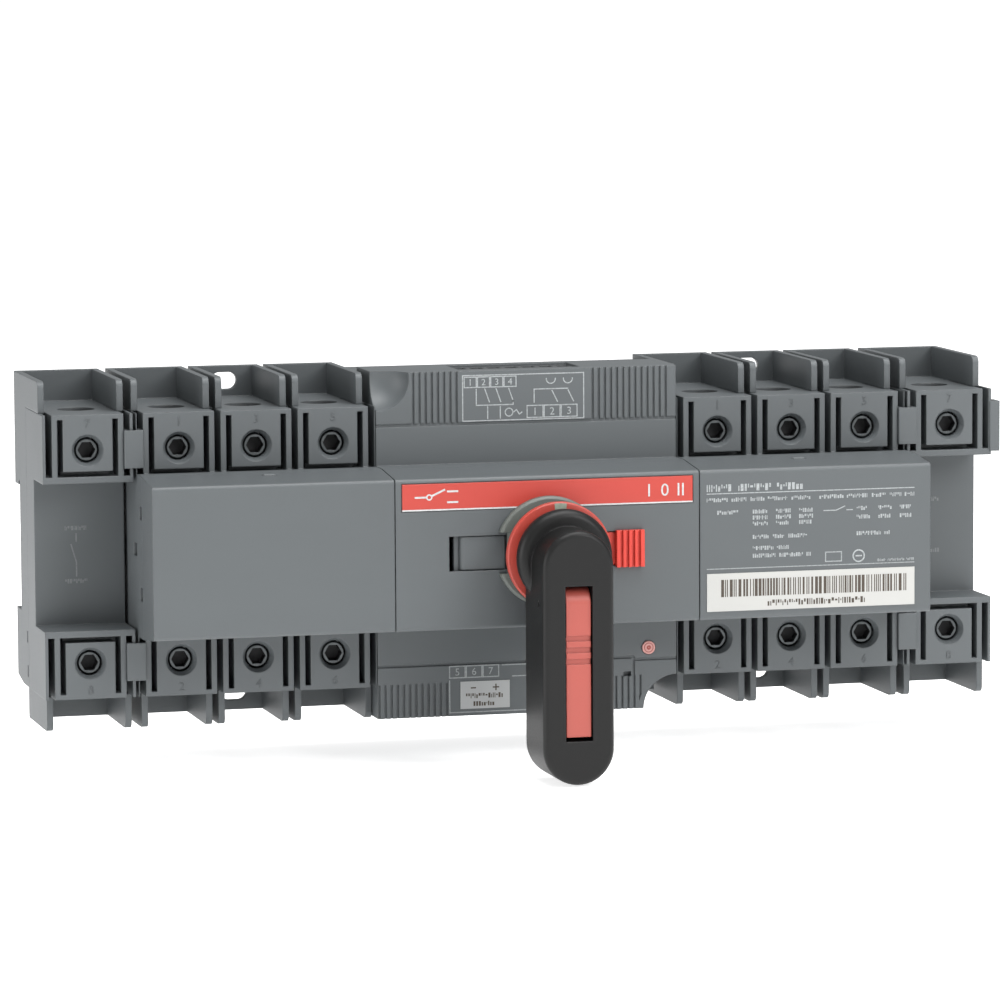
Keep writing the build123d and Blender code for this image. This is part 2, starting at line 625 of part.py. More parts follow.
def handle_shaft():
    """Main shaft with its rack pinion and the square end for the handle."""
    shaft = rod_y(0, 0, 10.3, 77.0, SHAFT_R)
    shaft += block(-2.8, 2.8, 76.5, 90.0, -2.8, 2.8)
    return shaft + wheel_y(0, 0, BAR_BACK + 0.1, BAR_FRONT, SHAFT_PINION_TEETH)


def shaft_gear():
    """Large gear that the motor turns the shaft with."""
    gear = wheel_y(0, 0, SHAFT_GEAR_DEPTH, SHAFT_GEAR_DEPTH + 2.5, SHAFT_GEAR_TEETH)
    gear += rod_y(0, 0, SHAFT_GEAR_DEPTH, SHAFT_GEAR_DEPTH + 5.0, 6.5)
    return gear - rod_y(0, 0, 30, 60, SHAFT_R + 0.02)


def idler_gear():
    """Stepped gear between the motor pinion and the shaft gear."""
    gear = wheel_y(IDLER_X, IDLER_Z, SHAFT_GEAR_DEPTH, IDLER_GEAR_DEPTH + 0.5, SHAFT_PINION_TEETH, 15.0)
    gear += wheel_y(IDLER_X, IDLER_Z, IDLER_GEAR_DEPTH, GEAR_TOP, IDLER_GEAR_TEETH, MOTOR_ANGLE)
    return gear - rod_y(IDLER_X, IDLER_Z, 30, 60, 2.0 + RUNNING_FIT)


def motor_pinion():
    """Pinion pressed on the motor shaft."""
    half_tooth = 180.0 / MOTOR_PINION_TEETH
    first = MOTOR_ANGLE - 180.0 + half_tooth
    pinion = wheel_y(MOTOR_X, MOTOR_Z, IDLER_GEAR_DEPTH, GEAR_TOP, MOTOR_PINION_TEETH, first)
    return pinion - rod_y(MOTOR_X, MOTOR_Z, 30, 60, 1.22)


def motor():
    """Motor can with its end bells and terminal tags."""
    can = rod_y(MOTOR_X, MOTOR_Z, 12.0, 36.5, MOTOR_R)
    can = fillet(can.edges().filter_by(GeomType.CIRCLE), 1.0)
    can += rod_y(MOTOR_X, MOTOR_Z, 36.0, PLATE_DEPTH - 0.02, 10.6)
    can += rod_y(MOTOR_X, MOTOR_Z, PLATE_DEPTH - 0.5, PLATE_DEPTH + 1.3, 3.4)
    can += rod_y(MOTOR_X, MOTOR_Z, 9.8, 12.5, 4.0)
    for side in (1, -1):
        can += block(MOTOR_X + side * 6 - 1.2, MOTOR_X + side * 6 + 1.2, 9.6, 12.5,
                     MOTOR_Z - 0.3, MOTOR_Z + 0.3)
        can -= rod_y(MOTOR_X + side * 8, MOTOR_Z, 34, 40, 1.25)
    return can - rod_y(MOTOR_X, MOTOR_Z, 15, 45, 1.28)


def gear_plate():
    """Metal plate that carries the idler pin and the motor."""
    plate = block(-43.6, 27.0, PLATE_DEPTH, PLATE_DEPTH + PLATE_THICK, -49.6, 28.0)
    plate = fillet(plate.edges().filter_by(Axis.Y), 3.0)
    plate -= rod_y(0, 0, 30, 50, SHAFT_R + 0.6)
    plate -= rod_y(MOTOR_X, MOTOR_Z, 30, 50, 3.6)
    plate -= rod_y(-41.0, -44.5, 30, 50, BOSS_R + 0.3)
    plate -= rod_y(IDLER_X, IDLER_Z, 30, 50, 1.6)
    plate -= block(LOWER_TERMINALS[0] - 0.5, LOWER_TERMINALS[1] + 0.5, 30, 50, -55, -38)
    for side in (1, -1):
        plate -= rod_y(MOTOR_X + side * 8, MOTOR_Z, 30, 50, 1.4)
    for x, z in POSTS:
        plate -= rod_y(x, z, 30, 50, 1.4)
    return plate


def idler_pin():
    """Shouldered pin staked into the plate."""
    pin = rod_y(IDLER_X, IDLER_Z, PLATE_DEPTH + PLATE_THICK, GEAR_TOP + 0.6, 2.0)
    return pin + rod_y(IDLER_X, IDLER_Z, PLATE_DEPTH + 0.2, PLATE_DEPTH + PLATE_THICK + 1, 1.58)


def plate_screw(x, z, tip):
    """Pan-head screw through the plate."""
    top = PLATE_DEPTH + PLATE_THICK
    screw = rod_y(x, z, tip, top + 0.5, 1.15) + rod_y(x, z, top + 0.02, top + 1.0, 2.1)
    return screw - block(x - 1.6, x + 1.6, top + 0.55, top + 2, z - 0.25, z + 0.25)


def housing_screw(x, z):
    """Screw that joins the two mechanism shells from behind."""
    screw = rod_y(x, z, 0.4, 36.0, 1.4) + rod_y(x, z, 0.4, 2.4, 2.7)
    return screw - block(x - 2, x + 2, -1, 1.2, z - 0.3, z + 0.3)


def rack_bar(side):
    """Sliding bar: side teeth meet the shaft pinion, rear teeth meet a rotor gear."""
    flank = [(side * across, along) for across, along in
             rack_outline(BAR_HALF, SHAFT_PINION_R, -1, BAR_OUTER)]
    bar = profile_y(flank, BAR_BACK + 0.1, BAR_FRONT)
    teeth = rack_outline(BAR_HALF, RACK_DEPTH, -1, BAR_FRONT)
    low, high = sorted((side * 10.4, side * BAR_OUTER))
    return bar + profile_x(teeth, low, high)


def drive_shaft(side):
    """Cross shaft with its rotor gear and the square tongue for the rotor."""
    low, high = sorted((side * 10.6, side * 46.1))
    shaft = rod_x(low, high, ROTOR_DEPTH, 0, JOURNAL_R)
    low, high = sorted((side * 10.6, side * 15.8))
    shaft += wheel_x(low, high, ROTOR_DEPTH, ROTOR_GEAR_TEETH)
    low, high = sorted((side * 46.0, side * 50.0))
    half = SOCKET_SIDE / 2 - 0.1
    return shaft + block(low, high, ROTOR_DEPTH - half, ROTOR_DEPTH + half, -half, half)


def circuit_board():
    """Control board with its relays and capacitor."""
    board = block(-42.0, 36.0, 14.0, 15.6, 30.0, 47.4)
    board -= rod_y(-41.0, 44.5, 10, 20, BOSS_R + 0.4)
    for x in (-30.0, -14.0, 26.0):
        board += block(x - 6, x + 6, 15.5, 25.0, 31.5, 41.0)
    return board + rod_y(6.0, 37.0, 15.5, 24.0, 5.0)


def control_terminals(span, count, end):
    """Row of small control terminals: wires enter from the outside, screws from the front."""
    x0, x1 = span
    body = block(x0 + 0.3, x1 - 0.3, 28.3, 43.7, end * 40.0, end * 51.4)
    pitch = (x1 - x0) / count
    for number in range(count):
        x = x0 + pitch * (number + 0.5)
        body -= block(x - pitch * 0.36, x + pitch * 0.36, 31.0, 35.5, end * 43.0, end * 55)
        body -= rod_z(x, 40.2, end * 46.0, end * 55, 1.7)
    return body


def control_screws(span, count, end):
    """Clamping screws of one control terminal row."""
    pitch = (span[1] - span[0]) / count
    screws = []
    for number in range(count):
        x = span[0] + pitch * (number + 0.5)
        screw = rod_z(x, 40.2, end * 46.1, end * 50.2, 1.6)
        screws.append(screw - block(x - 2, x + 2, 39.9, 40.5, end * 49.5, end * 51))
    return screws


def position_switch(side):
    """Small switch that a rack bar closes at the end of its travel."""
    low, high = sorted((side * 6.6, side * 15.8))
    body = block(low, high, 29.5, 36.5, 27.4, 33.0)
    return body + rod_z(side * 11.2, 33.0, 25.9, 27.8, 0.9)


def handle_body():
    """Hub and grip in one moulding, with the clip slot and its pin hole."""
    flare = HUB_RIM_DEPTH - HUB_BACK_DEPTH
    hub = Pos(0, -HUB_BACK_DEPTH - flare / 2, 0) * Rot(90, 0, 0) * Cone(HUB_BACK_R, HUB_R, flare)
    hub += rod_y(0, 0, HUB_RIM_DEPTH, HUB_FRONT_DEPTH, HUB_R)
    hub = fillet(hub.edges().group_by(Axis.Y)[0], 2.6)
    hub += rod_y(0, 0, NECK_BACK_DEPTH, HUB_BACK_DEPTH + 1, HUB_NECK_R)
    end_z = GRIP_END_Z + GRIP_HALF_WIDTH
    grip = block(-GRIP_HALF_WIDTH, GRIP_HALF_WIDTH, GRIP_BACK_DEPTH, GRIP_FRONT_DEPTH, end_z, GRIP_TOP_Z)
    grip += rod_y(0, end_z, GRIP_BACK_DEPTH, GRIP_FRONT_DEPTH, GRIP_HALF_WIDTH)
    grip += rod_y(0, GRIP_TOP_Z, GRIP_BACK_DEPTH, GRIP_FRONT_DEPTH, GRIP_HALF_WIDTH)
    grip = fillet(grip.edges().group_by(Axis.Y)[0], 1.6)
    body = hub + grip
    body -= block(-STRIP_HALF_WIDTH - 0.4, STRIP_HALF_WIDTH + 0.4, CLIP_PIVOT_DEPTH - CLIP_ROUND - 1.2,
                  GRIP_FRONT_DEPTH + 1, STRIP_END_Z - 1.2, CLIP_PIVOT_Z + CLIP_ROUND + 0.6)
    body -= rod_x(-20, 20, CLIP_PIVOT_DEPTH, CLIP_PIVOT_Z, 0.95)
    body -= block(-2.85, 2.85, NECK_BACK_DEPTH - 1, 90.2, -2.85, 2.85)
    return body - rod_z(0, SET_SCREW_DEPTH, 2.0, 20.0, 2.05)


def padlock_clip():
    """Red clip in the grip, with a stepped finger grip and a rounded upper end on its pin."""
    front = CLIP_PIVOT_DEPTH + CLIP_ROUND
    half = STRIP_HALF_WIDTH
    clip = block(-half, half, CLIP_PIVOT_DEPTH - CLIP_ROUND + 0.8, front, STRIP_END_Z, CLIP_PIVOT_Z)
    clip += rod_x(-half, half, CLIP_PIVOT_DEPTH, CLIP_PIVOT_Z, CLIP_ROUND)
    for number in range(3):
        z = -22.0 - 3.4 * number
        clip -= block(-half - 1, half + 1, front - 0.5, front + 1, z - 0.8, z + 0.8)
    return clip - rod_x(-20, 20, CLIP_PIVOT_DEPTH, CLIP_PIVOT_Z, 0.9 + RUNNING_FIT)


def set_screw():
    """Set screw that clamps the handle on the shaft's square."""
    screw = rod_z(0, SET_SCREW_DEPTH, 2.9, HUB_NECK_R - 0.6, 2.0)
    return screw - rod_z(0, SET_SCREW_DEPTH, 8.0, HUB_NECK_R, 1.1)


def flange(span):
    """Plate behind the cover that keeps a slide in its window."""
    left, right = span
    return block(left - SLIDE_FLANGE, right + SLIDE_FLANGE, SLIDE_BACK, SLIDE_FRONT, -7.2, 7.2)


def lock_slide():
    """Grey slide in the left window."""
    left, right = LOCK_SLIDE
    knob = block(left, right, SLIDE_FRONT - 0.9, COVER_DEPTH - 0.6, -4.9, 4.9)
    knob = fillet(knob.edges().filter_by(Axis.Z).group_by(Axis.Y)[0].group_by(Axis.X)[0], 1.6)
    return knob + flange(LOCK_SLIDE)


def mode_slide():
    """Red slide in the right window, with a raised ribbed grip."""
    left, right = MODE_SLIDE
    front = COVER_DEPTH + MODE_GRIP_RISE
    knob = block(left, right, SLIDE_FRONT - 0.9, COVER_DEPTH - 0.4, -4.9, 4.9)
    knob += block(right - MODE_GRIP_LENGTH, right, SLIDE_FRONT - 0.9, front, -4.9, 4.9)
    knob += block(right - MODE_GRIP_LENGTH, right, COVER_DEPTH + 0.2, front, -5.5, 5.5)
    for number in range(4):
        x = right - 1.7 - 1.8 * number
        knob -= block(x - 0.45, x + 0.45, front - 0.9, front + 1, -6.0, 6.0)
    return knob + flange(MODE_SLIDE)


# ---------------------------------------------------------------- assembly

def save_switch_unit(name, side):
    """Write the housings, cover and contact system of one switch unit."""
    centre = side * BLOCK_X
    neutral = side * NEUTRAL_X
    rear = rear_housing(centre, POLES, BLOCK_HALF, block_edges)
    rear -= rail_clip_channel(centre)
    for end in (1, -1):
        rear -= mounting_slot(centre, end)
    save(name + "_rear_housing", rear)
    front = front_housing(centre, POLES, BLOCK_HALF, SHOULDER_DEPTH - JOINT_GAP, SHOULDER_Z)
    save(name + "_front_housing", front - vent_slots(side * (BLOCK_X + BLOCK_HALF)))
    low, high = sorted((side * (MIDDLE_COVER_HALF + 0.3), side * COVER_OUTER_X))
    save(name + "_cover", cover(low, high))
    neutral_rear = rear_housing(neutral, (0.0,), NEUTRAL_FAR, neutral_edges, side)
    save(name + "_neutral_rear", neutral_rear - snap_holes(neutral, side))
    neutral_front = front_housing(neutral, (0.0,), NEUTRAL_FAR, NEUTRAL_PANEL_DEPTH,
                                  TERMINAL_INNER_Z + 0.1, side)
    if side > 0:
        neutral_front += free_hook(neutral)
    save(name + "_neutral_front", neutral_front)
    save(name + "_rotor", rotor(centre, POLES, BLOCK_HALF))
    save(name + "_neutral_rotor", rotor(neutral, (0.0,), NEUTRAL_FAR, side))
    blades = []
    springs = []
    for x in pole_positions(side):
        blades += blade_pair(x)
        springs += blade_springs(x)
    save(name + "_moving_contacts", *blades)
    save(name + "_blade_springs", *springs)
    save(name + "_drive_shaft", drive_shaft(side))
    save(name + "_rack_bar", rack_bar(side))
    save(name + "_rail_clip", rail_clip(centre))


def mounting_slot(centre, end):
    """Slot for a panel screw in the back wall of the middle pole's shroud."""
    z = end * PANEL_SLOT_Z
    slot = block(centre - 1.4, centre + 1.4, -1, 14, z - PANEL_SLOT_R, z + PANEL_SLOT_R)
    for side in (1, -1):
        slot += rod_y(centre + side * 1.4, z, -1, 14, PANEL_SLOT_R)
    return slot


def pole_positions(side):
    """Middle of each pole of one switch unit."""
    return [side * BLOCK_X + offset for offset in POLES] + [side * NEUTRAL_X]


def save_terminals():
    """Write the parts that repeat at every terminal, and the clips between blocks."""
    places = [(x, end) for side in SIDES.values() for x in pole_positions(side) for end in (1, -1)]
    save("fixed_contacts", *[fixed_contact(x, end) for x, end in places])
    save("terminal_clamps", *[terminal_clamp(x, end) for x, end in places])
    save("terminal_screws", *[terminal_screw(x, end) for x, end in places])
    joints = [(side * (BLOCK_X + BLOCK_HALF + 0.82), end * TERMINAL_Z) for side in SIDES.values()
              for end in (1, -1)]
    save("link_clips", *[link_clip(x, z) for x, z in joints])


def save_mechanism():
    """Write the drive mechanism."""
    save("mechanism_base", mechanism_base())
    save("mechanism_housing", mechanism_housing())
    save("mechanism_cover", mechanism_cover())
    save("red_band", block(-BAND_HALF_WIDTH, BAND_HALF_WIDTH, COVER_DEPTH - BAND_RECESS, COVER_DEPTH + 0.1,
                           BAND_BOTTOM_Z, BAND_TOP_Z))
    save("dial_ring", dial_ring())
    save("shaft_bushes", bush(10.1, 16.0, 6.0), bush(68.0, DIAL_FRONT_DEPTH - 0.2, BUSH_R))
    save("shaft_gear", shaft_gear())
    save("idler_gear", idler_gear())
    save("idler_pin", idler_pin())
    save("motor", motor())
    save("motor_shaft", rod_y(MOTOR_X, MOTOR_Z, 15.5, GEAR_TOP, 1.2))
    save("motor_pinion", motor_pinion())
    save("motor_screws", *[plate_screw(MOTOR_X + side * 8, MOTOR_Z, 34.5) for side in (1, -1)])
    save("gear_plate", gear_plate())
    save("plate_screws", *[plate_screw(x, z, PLATE_DEPTH - 7) for x, z in POSTS])
    save("housing_screws", *[housing_screw(x, z) for x, z in BOSSES])
    save("circuit_board", circuit_board())
    rows = ((UPPER_TERMINALS, 7, 1), (LOWER_TERMINALS, 4, -1))
    save("control_terminals", *[control_terminals(*row) for row in rows])
    screws = [screw for row in rows for screw in control_screws(*row)]
    save("control_terminal_screws", *screws)
    save("position_switches", *[position_switch(side) for side in (1, -1)])
    save("fuse_cap", rod_y(FUSE_X, FUSE_Z, 42.0, TERMINAL_DEPTH + 0.4, FUSE_R - 0.1))
    save("lock_slide", lock_slide())
    save("mode_slide", mode_slide())


def save_handle():
    """Write the handle and the shaft it turns."""
    save("handle_shaft", handle_shaft())
    disc = rod_y(0, 0, DISC_BACK_DEPTH, DISC_FRONT_DEPTH, DISC_R)
    disc -= rod_y(0, 0, DISC_BACK_DEPTH - 1, DISC_FRONT_DEPTH + 1, HUB_NECK_R + 0.05)
    save("position_disc", chamfer(disc.edges().group_by(Axis.Y)[0], 0.3))
    save("handle_body", handle_body())
    save("handle_screw", set_screw())
    save("padlock_clip", padlock_clip())
    save("padlock_clip_pin", rod_x(-9.8, 9.8, CLIP_PIVOT_DEPTH, CLIP_PIVOT_Z, 0.9))


def save_labels():
    """Write the two stuck-on labels."""
    for name, (left, right, low, high), depth in (("serial_label", SERIAL_LABEL, COVER_DEPTH),
                                                  ("supply_label", SUPPLY_LABEL, TERMINAL_DEPTH)):
        save(name, block(left, right, depth, depth + LABEL_THICK, low, high))


os.makedirs("parts", exist_ok=True)
for unit_name, unit_side in SIDES.items():
    save_switch_unit(unit_name, unit_side)
save_terminals()
save_mechanism()
save_handle()
save_labels()
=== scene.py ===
"""Looks of a motor-operated change-over switch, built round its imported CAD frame.

Lengths are metres. +X runs along the width, the front faces -Y and +Z is up. The CAD nodes keep
their shapes and get finishes here; printing, labels and raised marks are pieces made in mesh code.
"""
import logging
import math
import random
from dataclasses import dataclass, field
from enum import Enum
from typing import Mapping, Sequence, Union

import bmesh
import bpy
from mathutils import Matrix, Vector


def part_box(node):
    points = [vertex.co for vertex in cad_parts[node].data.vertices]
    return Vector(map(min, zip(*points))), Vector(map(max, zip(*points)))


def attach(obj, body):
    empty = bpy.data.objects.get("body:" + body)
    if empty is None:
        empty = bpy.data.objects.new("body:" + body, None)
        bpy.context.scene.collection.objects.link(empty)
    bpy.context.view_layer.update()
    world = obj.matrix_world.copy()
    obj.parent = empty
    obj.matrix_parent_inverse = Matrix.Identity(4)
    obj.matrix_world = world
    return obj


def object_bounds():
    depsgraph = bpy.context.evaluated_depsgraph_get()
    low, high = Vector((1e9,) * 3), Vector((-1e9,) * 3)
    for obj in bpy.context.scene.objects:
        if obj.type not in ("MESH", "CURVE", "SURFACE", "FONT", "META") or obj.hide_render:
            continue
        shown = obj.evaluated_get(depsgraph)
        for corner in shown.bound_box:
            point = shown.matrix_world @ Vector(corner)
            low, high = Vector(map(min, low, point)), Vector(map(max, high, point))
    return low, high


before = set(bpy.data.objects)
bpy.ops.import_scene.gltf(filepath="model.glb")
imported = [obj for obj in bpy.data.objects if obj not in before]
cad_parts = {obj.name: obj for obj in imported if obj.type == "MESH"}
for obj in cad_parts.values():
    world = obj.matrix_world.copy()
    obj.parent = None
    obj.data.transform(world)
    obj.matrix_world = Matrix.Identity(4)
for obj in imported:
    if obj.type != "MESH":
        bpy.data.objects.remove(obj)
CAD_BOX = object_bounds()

MM = 0.001
Colour = tuple[float, float, float]
Point = tuple[float, float]
Feed = Union["Wire", float, int, Colour, Vector]
log = logging.getLogger("switch")


def screen(red: int, green: int, blue: int) -> Colour:
    """Turn an 8-bit screen colour into linear light.

    Args:
        red: Red, 0 to 255.
        green: Green, 0 to 255.
        blue: Blue, 0 to 255.

    Returns:
        The linear colour.
    """
    def linear(value: int) -> float:
        """One channel, by the sRGB curve."""
        share = value / 255
        return share / 12.92 if share <= 0.04045 else ((share + 0.055) / 1.055) ** 2.4
    return linear(red), linear(green), linear(blue)


class Side(Enum):
    """The two switch units, seen from the front."""

    LEFT = -1
    RIGHT = 1

    @property
    def word(self) -> str:
        """Prefix of this side's CAD nodes."""
        return self.name.lower()


class End(Enum):
    """The two ends of a pole."""

    LOWER = -1
    UPPER = 1

    @property
    def word(self) -> str:
        """Word used in piece names."""
        return self.name.lower()


# ------------------------------------------------------------------ shader maths

class Wire:
    """A number that varies over a surface; arithmetic on it adds Math nodes."""

    def __init__(self, graph: "Graph", socket: bpy.types.NodeSocket) -> None:
        """Wrap a socket.

        Args:
            graph: The material being built.
            socket: The node output that carries the value.
        """
        self.graph = graph
        self.socket = socket

    def __add__(self, other: Feed) -> "Wire":
        """Self plus other."""
        return self.graph.math("ADD", self, other)

    __radd__ = __add__

    def __sub__(self, other: Feed) -> "Wire":
        """Self minus other."""
        return self.graph.math("SUBTRACT", self, other)

    def __rsub__(self, other: Feed) -> "Wire":
        """Other minus self."""
        return self.graph.math("SUBTRACT", other, self)

    def __mul__(self, other: Feed) -> "Wire":
        """Self times other."""
        return self.graph.math("MULTIPLY", self, other)

    __rmul__ = __mul__

    def rise(self, start: float, stop: float) -> "Wire":
        """Smooth step from 0 at start to 1 at stop.

        Args:
            start: Value that gives 0.
            stop: Value that gives 1; it may be the lower one.

        Returns:
            The mask.
        """
        low, high = sorted((start, stop))
        node = self.graph.node("ShaderNodeMapRange", {"interpolation_type": "SMOOTHSTEP", "clamp": True},
                               {"Value": self, "From Min": low, "From Max": high})
        mask = Wire(self.graph, node.outputs["Result"])
        return mask if start < stop else 1 - mask


class Graph:
    """One material's node tree."""

    def __init__(self, name: str) -> None:
        """Start an empty node material.

        Args:
            name: Name of the material.
        """
        self.material = bpy.data.materials.new(name)
        self.material.use_nodes = True
        self.tree = self.material.node_tree
        self.tree.nodes.clear()
        self._place: bpy.types.NodeSocket | None = None

    def node(self, kind: str, settings: Mapping[str, object] | None = None,
             sockets: Mapping[str | int, Feed] | None = None) -> bpy.types.Node:
        """Add a node.

        Args:
            kind: The node's type.
            settings: Its properties, set first.
            sockets: Values or links of its inputs.

        Returns:
            The new node.
        """
        made = self.tree.nodes.new(kind)
        for name, value in (settings or {}).items():
            setattr(made, name, value)
        for key, value in (sockets or {}).items():
            self.feed(made.inputs[key], value)
        return made

    def feed(self, socket: bpy.types.NodeSocket, value: Feed) -> None:
        """Link or set one input.

        Args:
            socket: The input.
            value: A wire, a socket, a number or a colour.
        """
        if isinstance(value, Wire):
            self.tree.links.new(value.socket, socket)
        elif isinstance(value, bpy.types.NodeSocket):
            self.tree.links.new(value, socket)
        elif socket.type == "RGBA":
            socket.default_value = (*value, 1.0)
        else:
            socket.default_value = value

    def math(self, operation: str, *values: Feed) -> Wire:
        """Add a Math node.

        Args:
            operation: Its operation.
            values: Its one or two inputs.

        Returns:
            The result.
        """
        made = self.node("ShaderNodeMath", {"operation": operation}, dict(enumerate(values)))
        return Wire(self, made.outputs[0])

    def place(self) -> bpy.types.NodeSocket:
        """Place on the object at rest, in metres."""
        if self._place is None:
            self._place = self.node("ShaderNodeTexCoord").outputs["Object"]
        return self._place

    def along(self, axis: int) -> Wire:
        """One coordinate of the place: 0 along X, 1 along Y, 2 along Z."""
        return Wire(self, self.node("ShaderNodeSeparateXYZ", sockets={0: self.place()}).outputs[axis])

    def noise(self, scale: float, detail: float = 2.0, stretch: Colour = (1.0, 1.0, 1.0)) -> Wire:
        """Soft noise, 0 to 1.

        Args:
            scale: Cells per metre.
            detail: Octaves.
            stretch: Scale of each axis, to draw the noise out along one.

        Returns:
            The noise value.
        """
        where = self.vector("MULTIPLY", self.place(), stretch)
        made = self.node("ShaderNodeTexNoise", {"noise_dimensions": "3D"},
                         {"Vector": where, "Scale": scale, "Detail": detail, "Roughness": 0.55})
        return Wire(self, made.outputs[0])

    def cells(self, scale: float) -> Wire:
        """Distance to the nearest of scattered points, in cells."""
        made = self.node("ShaderNodeTexVoronoi", {"feature": "F1"}, {"Vector": self.place(), "Scale": scale})
        return Wire(self, made.outputs["Distance"])

    def vector(self, operation: str, first: object, second: object) -> bpy.types.NodeSocket:
        """Add a Vector Math node.

        Args:
            operation: Its operation.
            first: First vector or its socket.
            second: Second vector or its socket.

        Returns:
            The resulting vector.
        """
        return self.node("ShaderNodeVectorMath", {"operation": operation}, {0: first, 1: second}).outputs[0]

    def shade(self, colour: object, tone: Wire) -> bpy.types.NodeSocket:
        """Scale a colour by a tone that varies round 1."""
        made = self.node("ShaderNodeVectorMath", {"operation": "SCALE"}, {0: colour, "Scale": tone})
        return made.outputs[0]

    def mix(self, mask: Feed, base: object, over: object) -> bpy.types.NodeSocket:
        """Blend two colours.

        Args:
            mask: 0 for base, 1 for over.
            base: First colour or its socket.
            over: Second colour or its socket.

        Returns:
            The blended colour.
        """
        made = self.node("ShaderNodeMix", {"data_type": "RGBA", "clamp_factor": True},
                         {0: mask, 6: base, 7: over})
        return made.outputs[2]

    def rounded(self, radius: float) -> bpy.types.NodeSocket:
        """Normal that turns smoothly round edges, as a moulded edge does."""
        return self.node("ShaderNodeBevel", {"samples": 4}, {"Radius": radius}).outputs[0]

    def edges(self, rounded: bpy.types.NodeSocket) -> Wire:
        """Find the edges, from how far the rounded normal leaves the flat one.

        Args:
            rounded: Normal from rounded().

        Returns:
            A mask, 1 on an edge.
        """
        flat = self.node("ShaderNodeNewGeometry").outputs["Normal"]
        dot = self.node("ShaderNodeVectorMath", {"operation": "DOT_PRODUCT"}, {0: rounded, 1: flat})
        return (1 - Wire(self, dot.outputs["Value"])).rise(0.0, 0.25)

    def bump(self, height: Wire, distance: float, normal: object = None) -> bpy.types.NodeSocket:
        """Normal of a height over the surface.

        Args:
            height: Height, 0 to 1.
            distance: Metres from height 0 to 1.
            normal: Normal to start from.

        Returns:
            The bumped normal.
        """
        sockets: dict[str | int, object] = {"Height": height, "Distance": distance, "Strength": 1.0}
        if normal is not None:
            sockets["Normal"] = normal
        return self.node("ShaderNodeBump", None, sockets).outputs[0]

    def surface(self, **sockets: object) -> bpy.types.Material:
        """Close the tree with a Principled surface.

        Args:
            sockets: Its inputs, with spaces written as underscores.

        Returns:
            The material.
        """
        named = {key.replace("_", " "): value for key, value in sockets.items()}
        shader = self.node("ShaderNodeBsdfPrincipled", None, named)
        out = self.node("ShaderNodeOutputMaterial")
        self.tree.links.new(shader.outputs[0], out.inputs["Surface"])
        return self.material


# ------------------------------------------------------------------ finishes

@dataclass(frozen=True)
class Finish:
    """A finish; its material is made once and then shared."""

    name: str
    colour: Colour

    def material(self) -> bpy.types.Material:
        """The finished material."""
        known = bpy.data.materials.get(self.name)
        return known if known is not None else self.paint(Graph(self.name))

    def paint(self, graph: Graph) -> bpy.types.Material:
        """Build the node tree; each kind of finish has its own."""
        raise NotImplementedError


@dataclass(frozen=True)
class MouldedPlastic(Finish):
    """Spark-eroded moulded plastic: fine grain, faint flow clouds, and edges painted paler as a highlight.
    """

    roughness: float = 0.5
    grain: float = 0.00035
    grain_height: float = 0.000012
    clouds: float = 0.10
    # Strength of the painted highlight that makes the edges paler.
    edge_highlight_gain: float = 0.35
    edge_radius: float = 0.0005
    specular: float = 0.4

    def paint(self, graph: Graph) -> bpy.types.Material:
        """Build the node tree.

        Args:
            graph: The empty material.

        Returns:
            The finished material.
        """
        rounded = graph.rounded(self.edge_radius)
        cloud = graph.noise(26.0, 3.0)
        flow = graph.noise(130.0, 2.0, (0.35, 1.0, 1.0))
        grain = graph.noise(1 / self.grain, 2.0)
        edge = graph.edges(rounded)
        # Painted highlight: the edges are coloured paler in patches, where they would catch the light.
        painted_edge_highlight = edge * graph.noise(420.0, 3.0).rise(0.35, 0.75)
        tone = 1 + (cloud - 0.5) * self.clouds + (flow - 0.5) * 0.06 + (grain - 0.5) * 0.10 \
            + painted_edge_highlight * self.edge_highlight_gain
        rough = self.roughness + (grain - 0.5) * 0.16 + (cloud - 0.5) * 0.10 - edge * 0.08
        height = grain * 0.8 + flow * 0.2
        return graph.surface(Base_Color=graph.shade(self.colour, tone), Roughness=rough,
                             Normal=graph.bump(height, self.grain_height, rounded),
                             Specular_IOR_Level=self.specular)


@dataclass(frozen=True)
class Metal(Finish):
    """Turned or rolled metal: drawn scratches, dull spots and a painted highlight along the edges."""

    roughness: float = 0.32
    scratch: Colour = (1.0, 1.0, 14.0)
    dullness: float = 0.25

    def paint(self, graph: Graph) -> bpy.types.Material:
        """Build the node tree.

        Args:
            graph: The empty material.

        Returns:
            The finished material.
        """
        rounded = graph.rounded(0.00025)
        brush = graph.noise(900.0, 3.0, self.scratch)
        spots = graph.noise(260.0, 4.0).rise(0.45, 0.75)
        edge = graph.edges(rounded)
        # Painted highlight: the edges are coloured brighter, as if they caught the light.
        tone = 1 + (brush - 0.5) * 0.22 - spots * self.dullness + edge * 0.3
        rough = self.roughness + (brush - 0.5) * 0.2 + spots * 0.18
        return graph.surface(Base_Color=graph.shade(self.colour, tone), Metallic=1.0, Roughness=rough,
                             Normal=graph.bump(brush, 0.000008, rounded))


